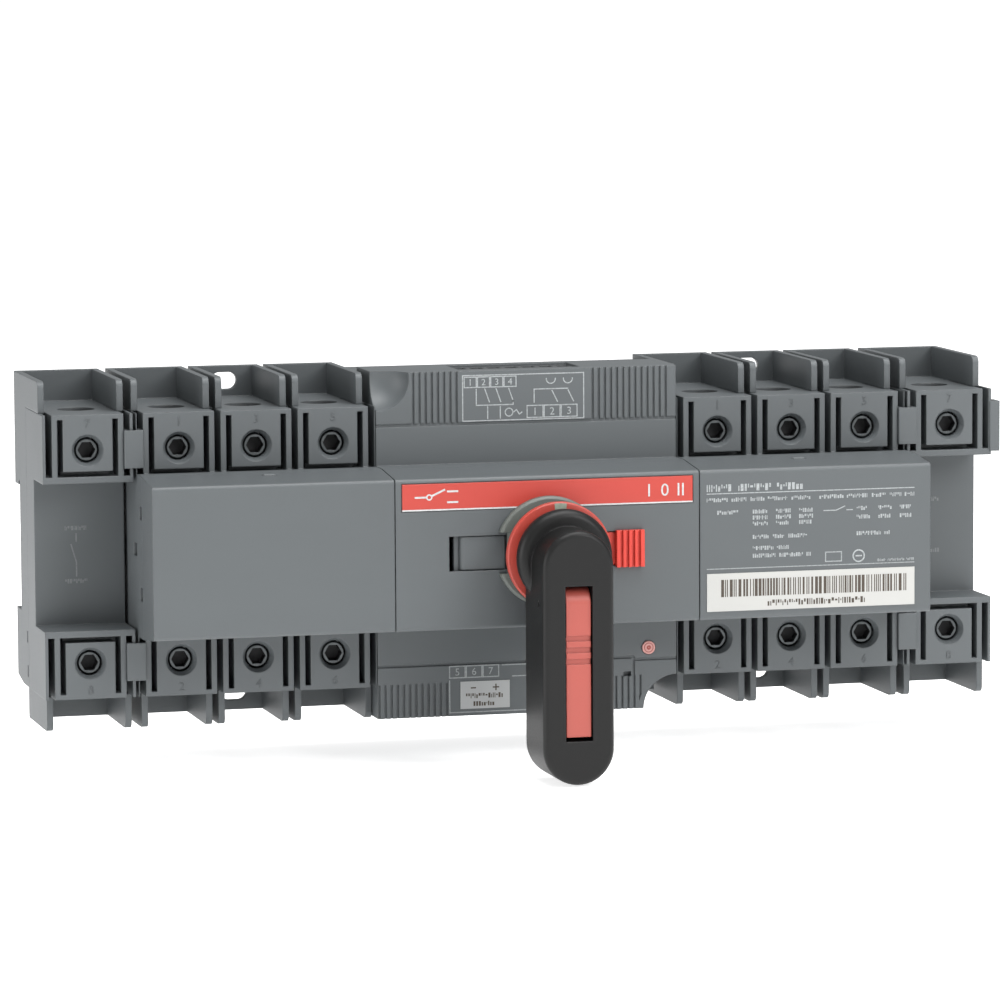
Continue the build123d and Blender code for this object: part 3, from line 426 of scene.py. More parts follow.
@dataclass(frozen=True)
class SocketScrew(Finish):
    """Zinc-plated socket screw, its socket painted near black as shade and the edges of its head painted
    brighter as a highlight.
    """

    depth: float = 0.0455
    # Colour painted into the socket as its shade.
    socket_shade: Colour = (0.012, 0.012, 0.013)

    def paint(self, graph: Graph) -> bpy.types.Material:
        """Build the node tree.

        Args:
            graph: The empty material.

        Returns:
            The finished material.
        """
        rounded = graph.rounded(0.0003)
        turned = graph.noise(1500.0, 3.0)
        stain = graph.noise(300.0, 3.0).rise(0.4, 0.8)
        # Painted shade: below the given depth the socket is coloured near black, where shade falls into it.
        shaded_socket = (graph.along(1) * -1).rise(self.depth + 0.0008, self.depth)
        # Painted highlight: the edges of the head are coloured brighter.
        tone = 1 + (turned - 0.5) * 0.25 - stain * 0.3 + graph.edges(rounded) * 0.4
        colour = graph.mix(shaded_socket, graph.shade(self.colour, tone), self.socket_shade)
        return graph.surface(Base_Color=colour, Metallic=1 - shaded_socket * 0.8,
                             Roughness=0.34 + (turned - 0.5) * 0.2 + shaded_socket * 0.4,
                             Normal=graph.bump(turned, 0.00001, rounded))


@dataclass(frozen=True)
class PrintInk(Finish):
    """Pad-printed ink, slightly uneven and soft at the rim."""

    strength: float = 1.0

    def paint(self, graph: Graph) -> bpy.types.Material:
        """Build the node tree.

        Args:
            graph: The empty material.

        Returns:
            The finished material.
        """
        patch = graph.noise(1700.0, 3.0)
        tone = 1 - patch.rise(0.35, 0.8) * 0.28 * self.strength
        return graph.surface(Base_Color=graph.shade(self.colour, tone), Roughness=0.55 + (patch - 0.5) * 0.2,
                             Normal=graph.bump(patch, 0.000006))


@dataclass(frozen=True)
class LabelFilm(Finish):
    """White printed film with a faint paper cloud and a satin coat."""

    def paint(self, graph: Graph) -> bpy.types.Material:
        """Build the node tree.

        Args:
            graph: The empty material.

        Returns:
            The finished material.
        """
        fibre = graph.noise(2400.0, 4.0)
        cloud = graph.noise(70.0, 2.0)
        tone = 1 + (fibre - 0.5) * 0.05 + (cloud - 0.5) * 0.07
        return graph.surface(Base_Color=graph.shade(self.colour, tone), Roughness=0.38 + (cloud - 0.5) * 0.2,
                             Normal=graph.bump(fibre, 0.000004), Coat_Weight=0.12)


@dataclass(frozen=True)
class Laminate(Finish):
    """Circuit board with solder resist over tracks and pale pads."""

    pad: Colour = (0.62, 0.55, 0.34)

    def paint(self, graph: Graph) -> bpy.types.Material:
        """Build the node tree.

        Args:
            graph: The empty material.

        Returns:
            The finished material.
        """
        tracks = graph.cells(420.0)
        pads = graph.cells(240.0).rise(0.16, 0.10)
        tone = 1 + tracks.rise(0.5, 0.56) * 0.5
        weave = graph.noise(2600.0, 2.0)
        return graph.surface(Base_Color=graph.mix(pads, graph.shade(self.colour, tone), self.pad),
                             Metallic=pads * 0.8, Roughness=0.32 + weave * 0.12,
                             Normal=graph.bump(tracks.rise(0.5, 0.56), 0.00003))


@dataclass(frozen=True)
class StudioPaper(Finish):
    """Seamless paper for the floor."""

    def paint(self, graph: Graph) -> bpy.types.Material:
        """Build the node tree.

        Args:
            graph: The empty material.

        Returns:
            The finished material.
        """
        fibre = graph.noise(900.0, 3.0)
        return graph.surface(Base_Color=graph.shade(self.colour, 1 + (fibre - 0.5) * 0.02), Roughness=0.9,
                             Emission_Color=(1.0, 1.0, 1.0), Emission_Strength=0.68)


# The edge gain of each plastic sets how much paler its edges are painted, as a highlight; the handle's is
# strongest.
HOUSING = MouldedPlastic("housing_grey", screen(75, 79, 81))
COVER = MouldedPlastic("cover_grey", screen(74, 78, 80), roughness=0.46, grain=0.0003, clouds=0.07,
                       edge_highlight_gain=0.3)
DIAL_GREY = MouldedPlastic("dial_grey", screen(84, 88, 84), roughness=0.48, clouds=0.06)
HANDLE_BLACK = MouldedPlastic("handle_black", screen(20, 20, 20), roughness=0.4, grain=0.0004,
                              grain_height=0.00002, edge_highlight_gain=1.2, edge_radius=0.0007,
                              specular=0.2)
BAND_RED = MouldedPlastic("band_red", screen(162, 52, 42), roughness=0.42, clouds=0.12, edge_highlight_gain=0.1)
DISC_RED = MouldedPlastic("disc_red", screen(158, 58, 48), roughness=0.38, clouds=0.06, edge_highlight_gain=0.25)
CLIP_RED = MouldedPlastic("clip_red", screen(148, 68, 59), roughness=0.4, clouds=0.12, edge_highlight_gain=0.35)
SLIDE_RED = MouldedPlastic("slide_red", screen(188, 53, 41), roughness=0.42, clouds=0.08, edge_highlight_gain=0.2)
FUSE_PINK = MouldedPlastic("fuse_pink", screen(190, 138, 132), roughness=0.35, clouds=0.2, edge_highlight_gain=0.2)
GEAR_WHITE = MouldedPlastic("gear_acetal", screen(214, 211, 200), roughness=0.38, edge_highlight_gain=0.05)
TERMINAL_BLACK = MouldedPlastic("terminal_black", screen(52, 55, 57), roughness=0.45)
SCREW_STEEL = SocketScrew("terminal_screw_steel", screen(74, 77, 78))
PLATED = Metal("zinc_plate", screen(176, 178, 178), roughness=0.36)
MACHINED = Metal("ground_steel", screen(168, 170, 173), roughness=0.28, scratch=(14.0, 1.0, 1.0))
COPPER = Metal("silvered_copper", screen(214, 176, 150), roughness=0.3)
BRASS = Metal("turned_brass", screen(206, 176, 110), roughness=0.28)
RATING_INK = PrintInk("rating_ink", screen(146, 150, 151), strength=1.4)
BOARD_GREEN = Laminate("board_green", screen(24, 92, 58))
FILM = LabelFilm("white_film", screen(160, 160, 157))
SUPPLY_FILM = LabelFilm("supply_film", screen(146, 148, 148))
WHITE_INK = PrintInk("white_ink", screen(176, 178, 178))
PALE_INK = PrintInk("pale_ink", screen(132, 136, 137), strength=1.2)
FAINT_INK = PrintInk("faint_ink", screen(104, 108, 110), strength=1.3)
DARK_INK = PrintInk("dark_ink", screen(58, 48, 38))
PALE_GREEN = PrintInk("pale_green_mark", screen(128, 136, 122), strength=0.6)
PAPER = StudioPaper("studio_paper", screen(250, 250, 250))


def dress(finish: Finish, *nodes: str) -> None:
    """Give CAD nodes a finish.

    Args:
        finish: The finish.
        nodes: Names of CAD nodes.
    """
    for name in nodes:
        mesh_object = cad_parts[name]
        if not mesh_object.material_slots:
            mesh_object.data.materials.append(finish.material())
        for slot in mesh_object.material_slots:
            slot.material = finish.material()
        log.info("dressed %s in %s", name, finish.name)


# ------------------------------------------------------------------ flat marks

@dataclass
class Sheet:
    """Flat marks on a panel that faces the front, gathered into one thin solid piece.

    Points are (x, z) in metres. The marks start at the panel's plane and stand a little proud.
    """

    plane: float
    thickness: float = 0.00006
    mesh: bmesh.types.BMesh = field(default_factory=bmesh.new)

    def corner(self, point: Point) -> bmesh.types.BMVert:
        """Add one corner on the sheet's plane."""
        return self.mesh.verts.new((point[0], self.plane, point[1]))

    def polygon(self, corners: Sequence[Point]) -> None:
        """Add a filled polygon."""
        self.mesh.faces.new([self.corner(point) for point in corners])

    def bar(self, left: float, right: float, bottom: float, top: float) -> None:
        """Add an upright rectangle."""
        self.polygon([(left, bottom), (right, bottom), (right, top), (left, top)])

    def ribbon(self, points: Sequence[Point], width: float, closed: bool = False) -> None:
        """Add a line of even width with mitred corners.

        Args:
            points: Its corners.
            width: Its width.
            closed: Whether the last corner joins the first.
        """
        count = len(points)
        rims: list[tuple[Point, Point]] = []
        for number, (x, z) in enumerate(points):
            before = points[(number - 1) % count] if closed or number else None
            after = points[(number + 1) % count] if closed or number < count - 1 else None
            ways = []
            for start, stop in ((before, (x, z)), ((x, z), after)):
                if start is not None and stop is not None:
                    ways.append(Vector((stop[0] - start[0], stop[1] - start[1])).normalized())
            along = sum(ways, Vector((0.0, 0.0))).normalized()
            across = Vector((-along.y, along.x))
            normal = Vector((-ways[0].y, ways[0].x))
            reach = width / 2 / max(0.4, across.dot(normal))
            dx, dz = across.x * reach, across.y * reach
            rims.append(((x + dx, z + dz), (x - dx, z - dz)))
        sides = [(self.corner(left), self.corner(right)) for left, right in rims]
        pairs = zip(sides, sides[1:] + sides[:1] if closed else sides[1:])
        for (left, right), (next_left, next_right) in pairs:
            self.mesh.faces.new([right, next_right, next_left, left])

    def outline(self, left: float, right: float, bottom: float, top: float, width: float) -> None:
        """Add a rectangular frame."""
        self.ribbon([(left, bottom), (right, bottom), (right, top), (left, top)], width, closed=True)

    def arc(self, centre: Point, radius: float, start: float, stop: float, width: float,
            steps: int = 16) -> None:
        """Add a curved line.

        Args:
            centre: Centre of the arc.
            radius: Its radius.
            start: Start angle in degrees, from +X.
            stop: Stop angle in degrees.
            width: Width of the line.
            steps: Number of pieces.
        """
        whole = abs(stop - start) >= 360
        count = steps if whole else steps + 1
        angles = [math.radians(start + (stop - start) * n / steps) for n in range(count)]
        points = [(centre[0] + radius * math.cos(a), centre[1] + radius * math.sin(a)) for a in angles]
        self.ribbon(points, width, closed=whole)

    def words(self, text: str, centre: Point, height: float) -> None:
        """Add generic figures as filled shapes.

        Args:
            text: The figures.
            centre: Middle of the figures.
            height: Height of a figure.
        """
        curve = bpy.data.curves.new("figures", "FONT")
        curve.body = text
        curve.resolution_u = 3
        holder = bpy.data.objects.new("figures", curve)
        bpy.context.scene.collection.objects.link(holder)
        graph = bpy.context.evaluated_depsgraph_get()
        shape = bpy.data.meshes.new_from_object(holder.evaluated_get(graph))
        points = [vertex.co.copy() for vertex in shape.vertices]
        low = [min(point[axis] for point in points) for axis in (0, 1)]
        high = [max(point[axis] for point in points) for axis in (0, 1)]
        scale = height / (high[1] - low[1])
        corners = [self.mesh.verts.new((centre[0] + (point.x - (low[0] + high[0]) / 2) * scale, self.plane,
                                        centre[1] + (point.y - (low[1] + high[1]) / 2) * scale))
                   for point in points]
        for polygon in shape.polygons:
            self.mesh.faces.new([corners[index] for index in polygon.vertices])
        bpy.data.objects.remove(holder)
        bpy.data.curves.remove(curve)
        bpy.data.meshes.remove(shape)

    def dashes(self, left: float, right: float, middle: float, height: float, draw: random.Random) -> None:
        """Add one word of small print as close-set strokes that spell nothing.

        Args:
            left: Start of the word.
            right: End of the word.
            middle: Height of its middle.
            height: Height of a stroke.
            draw: Source of the seeded random strokes.
        """
        x = left
        low = middle - height / 2
        while x < right - 0.15 * height:
            length = min(draw.choice((0.16, 0.3, 0.42)) * height, right - x)
            foot = height * draw.choice((0.0, 0.0, 0.45))
            self.bar(x, x + length, low + foot, low + height * draw.choice((0.75, 1.0, 1.0)))
            x += length + 0.18 * height

    def piece(self, name: str, body: str, finish: Finish, slot: str) -> bpy.types.Object:
        """Close the marks into a solid piece that rides on a body.

        Args:
            name: Name of the piece.
            body: CAD body that it rides on.
            finish: Its finish.
            slot: Material slot name; not used.

        Returns:
            The piece.
        """
        bmesh.ops.recalc_face_normals(self.mesh, faces=self.mesh.faces)
        backs = list(self.mesh.faces)
        made = bmesh.ops.extrude_face_region(self.mesh, geom=backs, use_keep_orig=True)
        fronts = [item for item in made["geom"] if isinstance(item, bmesh.types.BMVert)]
        bmesh.ops.translate(self.mesh, verts=fronts, vec=(0.0, -self.thickness, 0.0))
        bmesh.ops.recalc_face_normals(self.mesh, faces=self.mesh.faces)
        return settle(self.mesh, name, body, finish)


def settle(mesh: bmesh.types.BMesh, name: str, body: str, finish: Finish) -> bpy.types.Object:
    """Turn mesh data into a piece that rides on a body.

    Args:
        mesh: The shape; it is freed.
        name: Name of the piece.
        body: CAD body that it rides on.
        finish: Its finish.

    Returns:
        The piece.
    """
    data = bpy.data.meshes.new(name)
    mesh.to_mesh(data)
    mesh.free()
    data.materials.append(finish.material())
    piece = bpy.data.objects.new(name, data)
    bpy.context.scene.collection.objects.link(piece)
    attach(piece, body)
    log.info("built %s on %s", name, body)
    return piece


# ------------------------------------------------------------------ sub-assemblies

@dataclass
class SwitchUnit:
    """One four-pole switch unit: three-pole block, separate neutral pole and blank cover."""

    side: Side
    pole_pitch: float = 23.33 * MM
    figure_height: float = 2.5 * MM
    figure_inset: float = 2.6 * MM
    symbol_width: float = 0.4 * MM
    panel_depth: float = 33.0 * MM
    cover_face: float = 22.5 * MM
    catch_middle: float = 81.6 * MM
    catch_inset: float = 2.6 * MM
    catch_half: float = 2.3 * MM
    catch_length: float = 2.0 * MM
    catch_rise: float = 0.55 * MM
    catch_steps: int = 8
    poles: int = 3

    def pole_middles(self) -> list[float]:
        """Find the middle of each pole of the block.

        Returns:
            The middles from left to right.
        """
        low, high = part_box(f"{self.side.word}_rotor")
        middle = (low.x + high.x) / 2
        return [middle + self.pole_pitch * (number - (self.poles - 1) / 2) for number in range(self.poles)]

    def neutral_middle(self) -> float:
        """Middle of the neutral pole."""
        low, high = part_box(f"{self.side.word}_neutral_rear")
        return (low.x + high.x) / 2

    def dress(self) -> None:
        """Give the unit's nodes their finishes."""
        word = self.side.word
        dress(HOUSING, *[f"{word}_{part}" for part in ("rear_housing", "front_housing", "neutral_rear",
                                                       "neutral_front")])
        dress(COVER, f"{word}_cover")
        dress(GEAR_WHITE, f"{word}_rotor", f"{word}_neutral_rotor", f"{word}_rack_bar", f"{word}_rail_clip")
        dress(COPPER, f"{word}_moving_contacts")
        dress(PLATED, f"{word}_blade_springs")
        dress(MACHINED, f"{word}_drive_shaft")

    def build(self) -> None:
        """Build the raised figures, the switch symbol and the cover's catch."""
        self.build_figures()
        self.build_symbol()
        self.build_catch()

    def build_figures(self) -> None:
        """Raised pole figures above the upper screws and below the lower ones."""
        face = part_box("supply_label")[1].y
        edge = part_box(f"{self.side.word}_front_housing")[1].z
        for end in End:
            sheet = Sheet(face + 0.02 * MM, 0.16 * MM)
            for number, x in enumerate([*self.pole_middles(), self.neutral_middle()]):
                figure = str(2 * number + (1 if end is End.UPPER else 2))
                sheet.words(figure, (x, end.value * (edge - self.figure_inset)), self.figure_height)
            name = f"{self.side.word}_{end.word}_pole_figures"
            sheet.piece(name, "switch_base", HOUSING, "housing_plastic")

    def build_symbol(self) -> None:
        """Printed contact symbol on the recessed panel of the neutral pole."""
        panel = -self.panel_depth
        x = self.neutral_middle() - 1.0 * MM
        draw = random.Random(40 + self.side.value)
        sheet = Sheet(panel + 0.01 * MM)
        for middle in (7.0 * MM, -8.9 * MM):
            sheet.dashes(x - 3.4 * MM, x + 3.4 * MM, middle, 1.3 * MM, draw)
        sheet.ribbon([(x, 5.4 * MM), (x, 2.9 * MM)], self.symbol_width)
        sheet.ribbon([(x - 1.6 * MM, 2.2 * MM), (x, -3.2 * MM), (x, -7.6 * MM)], self.symbol_width)
        sheet.piece(f"{self.side.word}_neutral_symbol", "switch_base", FAINT_INK, "label_film")

    def build_catch(self) -> None:
        """Small moulded catch nose on the sloped top of the cover."""
        low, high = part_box(f"{self.side.word}_cover")
        middle = self.side.value * self.catch_middle
        back = high.y - self.catch_inset
        slope = (high.z - self.cover_face) / (high.y - low.y)
        mesh = bmesh.new()
        half, length, rise = self.catch_half, self.catch_length, self.catch_rise
        rings = []
        for x, shrink in ((middle - half, 0.35), (middle - half * 0.7, 1.0), (middle + half * 0.7, 1.0),
                          (middle + half, 0.35)):
            ring = []
            for step in range(self.catch_steps + 1):
                angle = math.pi * step / self.catch_steps
                y = back - length / 2 - math.cos(angle) * length / 2 * shrink
                z = high.z - slope * (high.y - y) - 0.05 * MM + math.sin(angle) * rise * shrink
                ring.append(mesh.verts.new((x, y, z)))
            rings.append(ring)
        for before, after in zip(rings, rings[1:]):
            for step in range(self.catch_steps + 1):
                follow = (step + 1) % (self.catch_steps + 1)
                mesh.faces.new([before[step], after[step], after[follow], before[follow]])
        mesh.faces.new(list(reversed(rings[0])))
        mesh.faces.new(rings[-1])
        bmesh.ops.recalc_face_normals(mesh, faces=mesh.faces)
        settle(mesh, f"{self.side.word}_cover_catch", "switch_base", COVER)


@dataclass
class RatingPlate:
    """Light print and the bar label on the right cover, laid out over the label's width."""

    line: float = 0.28 * MM
    title: float = 2.1 * MM
    small: float = 1.2 * MM
    fine: float = 0.8 * MM
    title_height: float = 17.0 * MM
    rule: float = 15.3 * MM
    lead: float = 13.4 * MM
    table_top: float = 9.6 * MM
    notes: tuple[float, float, float] = (2.0 * MM, -1.4 * MM, -3.7 * MM)
    marks: float = -4.8 * MM
    footing: float = -7.3 * MM
    text_share: float = 0.22
    side_share: float = 0.72
    note_shares: tuple[float, float, float] = (0.26, 0.19, 0.28)
    ring_radius: float = 1.75 * MM
    ring_line: float = 0.42 * MM
    draw: random.Random = field(default_factory=lambda: random.Random(7))

    def build(self) -> None:
        """Print the rating area and the bar label."""
        low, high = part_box("serial_label")
        left, width = low.x, high.x - low.x
        sheet = Sheet(high.y + 0.01 * MM)
        self.print_line(sheet, left, left + width * 0.46, self.title_height, self.title)
        self.print_line(sheet, left, left + width * 0.5, self.lead, self.small)
        self.print_line(sheet, left + width * 0.54, left + width, self.lead, self.small)
        self.print_line(sheet, left + width * 0.05, left + width * 0.18, self.table_top, self.small)
        text, side = left + width * self.text_share, left + width * self.side_share
        self.print_table(sheet, text, left + width * 0.52, 3, 1.8 * MM)
        self.print_table(sheet, side, left + width, 2, 2.6 * MM)
        for height, share in zip(self.notes, self.note_shares):
            self.print_line(sheet, text, left + width * (self.text_share + share), height, self.small)
        self.print_line(sheet, side, left + width * 0.88, self.notes[0], self.small)
        sheet.ribbon([(left, self.rule), (left + width, self.rule)], self.line)
        self.contact_symbol(sheet, left + width * 0.56)
        middle = (left + width * 0.73, self.marks)
        sheet.arc(middle, self.ring_radius, 0, 360, self.ring_line, steps=28)
        ends = [(middle[0] - 1.0 * MM, middle[1]), (middle[0] + 1.0 * MM, middle[1])]
        sheet.ribbon(ends, self.ring_line)
        sheet.piece("rating_print", "switch_base", RATING_INK, "label_film")
        faint = Sheet(high.y + 0.01 * MM)
        box = left + width * 0.57
        faint.outline(box, box + 5.0 * MM, self.marks - 1.4 * MM, self.marks + 1.4 * MM, 0.34 * MM)
        self.print_line(faint, left + width * 0.82, left + width, self.footing + 1.0 * MM, self.fine)
        faint.ribbon([(left, self.footing), (left + width, self.footing)], self.line)
        faint.piece("rating_print_faint", "switch_base", PALE_INK, "label_film")
        self.build_bars()

    def print_line(self, sheet: Sheet, left: float, right: float, middle: float, height: float) -> None:
        """Print a line of words of random length.

        Args:
            sheet: Sheet to print on.
            left: Start of the line.
            right: End of the line.
            middle: Height of its middle.
            height: Height of a stroke.
        """
        x = left
        while x < right - height:
            length = min(self.draw.uniform(2.5, 6.5) * height, right - x)
            sheet.dashes(x, x + length, middle, height, self.draw)
            x += length + 0.9 * height

    def print_table(self, sheet: Sheet, left: float, right: float, rows: int, pitch: float) -> None:
        """Print a table of three columns, one word in each cell.

        Args:
            sheet: Sheet to print on.
            left: Left edge of the table.
            right: Right edge of the table.
            rows: Number of rows.
            pitch: Height from row to row.
        """
        gap = 2.2 * MM
        cell = (right - left - 2 * gap) / 3
        for row in range(rows):
            for column in range(3):
                x = left + column * (cell + gap)
                length = cell * self.draw.uniform(0.75, 1.0)
                sheet.dashes(x, x + length, self.table_top - row * pitch, self.small, self.draw)

    def contact_symbol(self, sheet: Sheet, x: float) -> None:
        """Print an open contact on one line: lead, raised lever, stub.

        Args:
            sheet: Sheet to print on.
            x: Start of the lead.
        """
        level = self.table_top - 0.4 * MM
        sheet.ribbon([(x, level), (x + 4.0 * MM, level), (x + 6.8 * MM, level + 1.2 * MM)], self.line)
        sheet.ribbon([(x + 7.2 * MM, level), (x + 9.2 * MM, level)], self.line)

    def build_bars(self) -> None:
        """Print the random bars and the row under them."""
        low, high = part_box("serial_label")
        sheet = Sheet(low.y + 0.005 * MM, 0.03 * MM)
        bottom, top = low.z + 4.3 * MM, high.z - 1.9 * MM
        x = low.x + 4.4 * MM
        stop = high.x - 2.1 * MM
        unit = 0.3 * MM
        while x < stop - unit:
            width = unit * self.draw.choice((1, 1, 1, 2, 2, 3))
            sheet.bar(x, min(x + width, stop), bottom, top)
            x += width + unit * self.draw.choice((1, 1, 1, 2, 2))
        sheet.dashes(low.x + 18.9 * MM, low.x + 49.9 * MM, low.z + 2.1 * MM, 1.8 * MM, self.draw)
        sheet.piece("serial_bars", "switch_base", DARK_INK, "label_film")


@dataclass
class Mechanism:
    """Drive mechanism between the switch units, with its printing and labels."""

    line: float = 0.32 * MM
    band_rule: float = 0.45 * MM
    symbol_line: float = 0.55 * MM
    pivot_radius: float = 0.75 * MM
    position_start: float = 31.0 * MM
    position_pitch: float = 4.9 * MM
    position_height: float = 3.7 * MM

    def dress(self) -> None:
        """Give the mechanism's nodes their finishes."""
        dress(HOUSING, "mechanism_base", "mechanism_housing", "link_clips", "lock_slide")
        dress(COVER, "mechanism_cover")
        dress(BAND_RED, "red_band")
        dress(SLIDE_RED, "mode_slide")
        dress(FUSE_PINK, "fuse_cap")
        dress(DIAL_GREY, "dial_ring")
        dress(GEAR_WHITE, "shaft_gear", "idler_gear")
        dress(BRASS, "shaft_bushes", "motor_pinion")
        dress(MACHINED, "gear_plate", "idler_pin", "motor", "motor_shaft")
        dress(PLATED, "plate_screws", "motor_screws", "housing_screws", "control_terminal_screws",
              "terminal_clamps")
        dress(SCREW_STEEL, "terminal_screws")
        dress(COPPER, "fixed_contacts")
        dress(BOARD_GREEN, "circuit_board")
        dress(TERMINAL_BLACK, "control_terminals", "position_switches")
        dress(FILM, "serial_label")
        dress(SUPPLY_FILM, "supply_label")

    def build(self) -> None:
        """Print the diagram, the terminal row, the supply label and the band."""
        self.build_diagram()
        self.build_lower_row()
        self.build_supply_print()
        self.build_band_print()
        self.build_fuse_mark()

    def build_diagram(self) -> None:
        """Terminal diagram on the upper band."""
        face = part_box("supply_label")[1].y
        sheet = Sheet(face + 0.01 * MM)
        line = self.line
        sheet.outline(-19.8 * MM, 17.7 * MM, 36.95 * MM, 50.6 * MM, line)
        self.numbered_boxes(sheet, -19.3, 4.1, 4, (47.0, 50.1))
        sheet.ribbon([(-15.6 * MM, 46.6 * MM), (-15.6 * MM, 41.6 * MM), (-4.2 * MM, 41.6 * MM),
                      (-4.2 * MM, 43.0 * MM)], line)
        for x in (-13.0 * MM, -9.5 * MM, -5.6 * MM):
            sheet.ribbon([(x, 46.6 * MM), (x + 1.5 * MM, 42.4 * MM)], line)
        for x in (7.5 * MM, 12.8 * MM):
            sheet.arc((x, 49.0 * MM), 1.4 * MM, 170, 370, line)
        sheet.ribbon([(12.9 * MM, 46.0 * MM), (2.3 * MM, 46.0 * MM), (2.3 * MM, 41.9 * MM)], line)
        for x in (7.8 * MM, 12.8 * MM):
            sheet.ribbon([(x, 45.6 * MM), (x + 1.8 * MM, 42.0 * MM)], line)
        sheet.arc((-5.5 * MM, 39.3 * MM), 1.2 * MM, 0, 360, line)
        sheet.ribbon([(-4.1 * MM, 39.3 * MM), (-3.2 * MM, 40.0 * MM), (-2.3 * MM, 38.6 * MM),
                      (-1.4 * MM, 39.3 * MM)], line)
        for x in (-12.1 * MM, -8.2 * MM):
            sheet.ribbon([(x, 41.2 * MM), (x, 37.4 * MM)], line)
        self.numbered_boxes(sheet, 0.1, 5.3, 3, (37.5, 41.1))
        sheet.piece("terminal_diagram", "switch_base", RATING_INK, "label_film")

    def numbered_boxes(self, sheet: Sheet, start: float, pitch: float, count: int, level: Point,
                       first: int = 1) -> None:
        """Add an even row of framed figures.

        Args:
            sheet: Sheet to print on.
            start: Left edge of the first box, in millimetres.
            pitch: Distance from box to box, in millimetres.
            count: Number of boxes.
            level: Bottom and top of the boxes, in millimetres.
            first: Figure in the first box.
        """
        bottom, top = level
        for number in range(count):
            left = (start + number * pitch) * MM
            right = left + pitch * MM - self.line * 1.2
            sheet.outline(left, right, bottom * MM, top * MM, self.line)
            middle = ((left + right) / 2, (bottom + top) / 2 * MM)
            sheet.words(str(number + first), middle, (top - bottom) * MM * 0.62)

    def build_lower_row(self) -> None:
        """Numbered boxes and frame on the lower band."""
        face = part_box("supply_label")[1].y
        sheet = Sheet(face + 0.01 * MM)
        line = self.line
        self.numbered_boxes(sheet, -24.4, 5.2, 3, (-40.4, -36.9), first=5)
        sheet.ribbon([(-8.2 * MM, -37.0 * MM), (10.0 * MM, -37.0 * MM)], line)
        sheet.ribbon([(-5.0 * MM, -40.5 * MM), (10.0 * MM, -40.5 * MM)], line)
        sheet.ribbon([(-24.4 * MM, -41.1 * MM), (-24.4 * MM, -50.9 * MM), (10.0 * MM, -50.9 * MM)], line)
        sheet.piece("lower_terminal_row", "switch_base", PALE_INK, "label_film")

    def build_supply_print(self) -> None:
        """Signs and two rows of strokes on the supply label."""
        low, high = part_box("supply_label")
        sheet = Sheet(low.y + 0.005 * MM, 0.03 * MM)
        draw = random.Random(11)
        middle, arm, half = high.z - 2.0 * MM, 1.0 * MM, 0.2 * MM
        plus = low.x + 11.0 * MM
        arms = [(-arm, -half), (-half, -half), (-half, -arm), (half, -arm), (half, -half), (arm, -half),
                (arm, half), (half, half), (half, arm), (-half, arm), (-half, half), (-arm, half)]
        sheet.polygon([(plus + x, middle + z) for x, z in arms])
        sheet.bar(low.x + 3.2 * MM, low.x + 4.8 * MM, middle - half, middle + half)
        sheet.dashes(low.x + 1.7 * MM, high.x - 2.2 * MM, low.z + 3.9 * MM, 1.5 * MM, draw)
        sheet.dashes(low.x + 4.0 * MM, high.x - 4.4 * MM, low.z + 1.5 * MM, 1.4 * MM, draw)
        sheet.piece("supply_print", "switch_base", DARK_INK, "label_film")

    def build_band_print(self) -> None:
        """White rule, position figures and a change-over contact symbol on the red band."""
        low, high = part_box("red_band")
        sheet = Sheet(low.y + 0.005 * MM, 0.04 * MM)
        sheet.bar(low.x, high.x, low.z, low.z + self.band_rule)
        middle = (low.z + high.z) / 2
        pivot = low.x + 8.2 * MM
        wide = self.symbol_line
        sheet.ribbon([(low.x + 3.8 * MM, middle), (pivot - 0.9 * MM, middle)], wide)
        sheet.arc((pivot, middle), self.pivot_radius, 0, 360, 0.4 * MM)
        sheet.ribbon([(pivot + 0.8 * MM, middle + 0.4 * MM), (pivot + 4.8 * MM, middle + 2.2 * MM)], wide)
        for side in (1, -1):
            level = middle + side * 1.6 * MM
            sheet.ribbon([(pivot + 5.4 * MM, level), (pivot + 8.8 * MM, level)], wide)
        for number, figure in enumerate(("I", "0", "II")):
            x = self.position_start + number * self.position_pitch
            sheet.words(figure, (x, middle), self.position_height)
        sheet.piece("band_print", "switch_base", WHITE_INK, "label_film")

    def build_fuse_mark(self) -> None:
        """Turned rim and a small centre ring on the fuse cap."""
        low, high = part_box("fuse_cap")
        middle = ((low.x + high.x) / 2, (low.z + high.z) / 2)
        sheet = Sheet(low.y + 0.01 * MM, 0.08 * MM)
        sheet.arc(middle, 0.42 * MM, 0, 360, 0.5 * MM, steps=24)
        sheet.arc(middle, 1.35 * MM, 0, 360, 0.2 * MM, steps=36)
        sheet.piece("fuse_mark", "switch_base", CLIP_RED, "red_plastic")


@dataclass
class Handle:
    """Rotary handle with its red clip, disc and position mark."""

    mark_start: float = 82.0
    mark_stop: float = 96.0
    mark_inner: float = 13.2 * MM

    def dress(self) -> None:
        """Give the handle's nodes their finishes."""
        dress(HANDLE_BLACK, "handle_body")
        dress(DISC_RED, "position_disc")
        dress(CLIP_RED, "padlock_clip")
        dress(MACHINED, "handle_shaft")
        dress(PLATED, "handle_screw", "padlock_clip_pin")

    def build(self) -> None:
        """Paint the position mark on the disc."""
        low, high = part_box("position_disc")
        outer = high.x - 0.35 * MM
        sheet = Sheet(low.y + 0.01 * MM)
        sheet.arc((0.0, 0.0), (self.mark_inner + outer) / 2, self.mark_start, self.mark_stop,
                  outer - self.mark_inner)
        sheet.piece("disc_mark", "handle", PALE_GREEN, "label_film")


# ------------------------------------------------------------------ studio

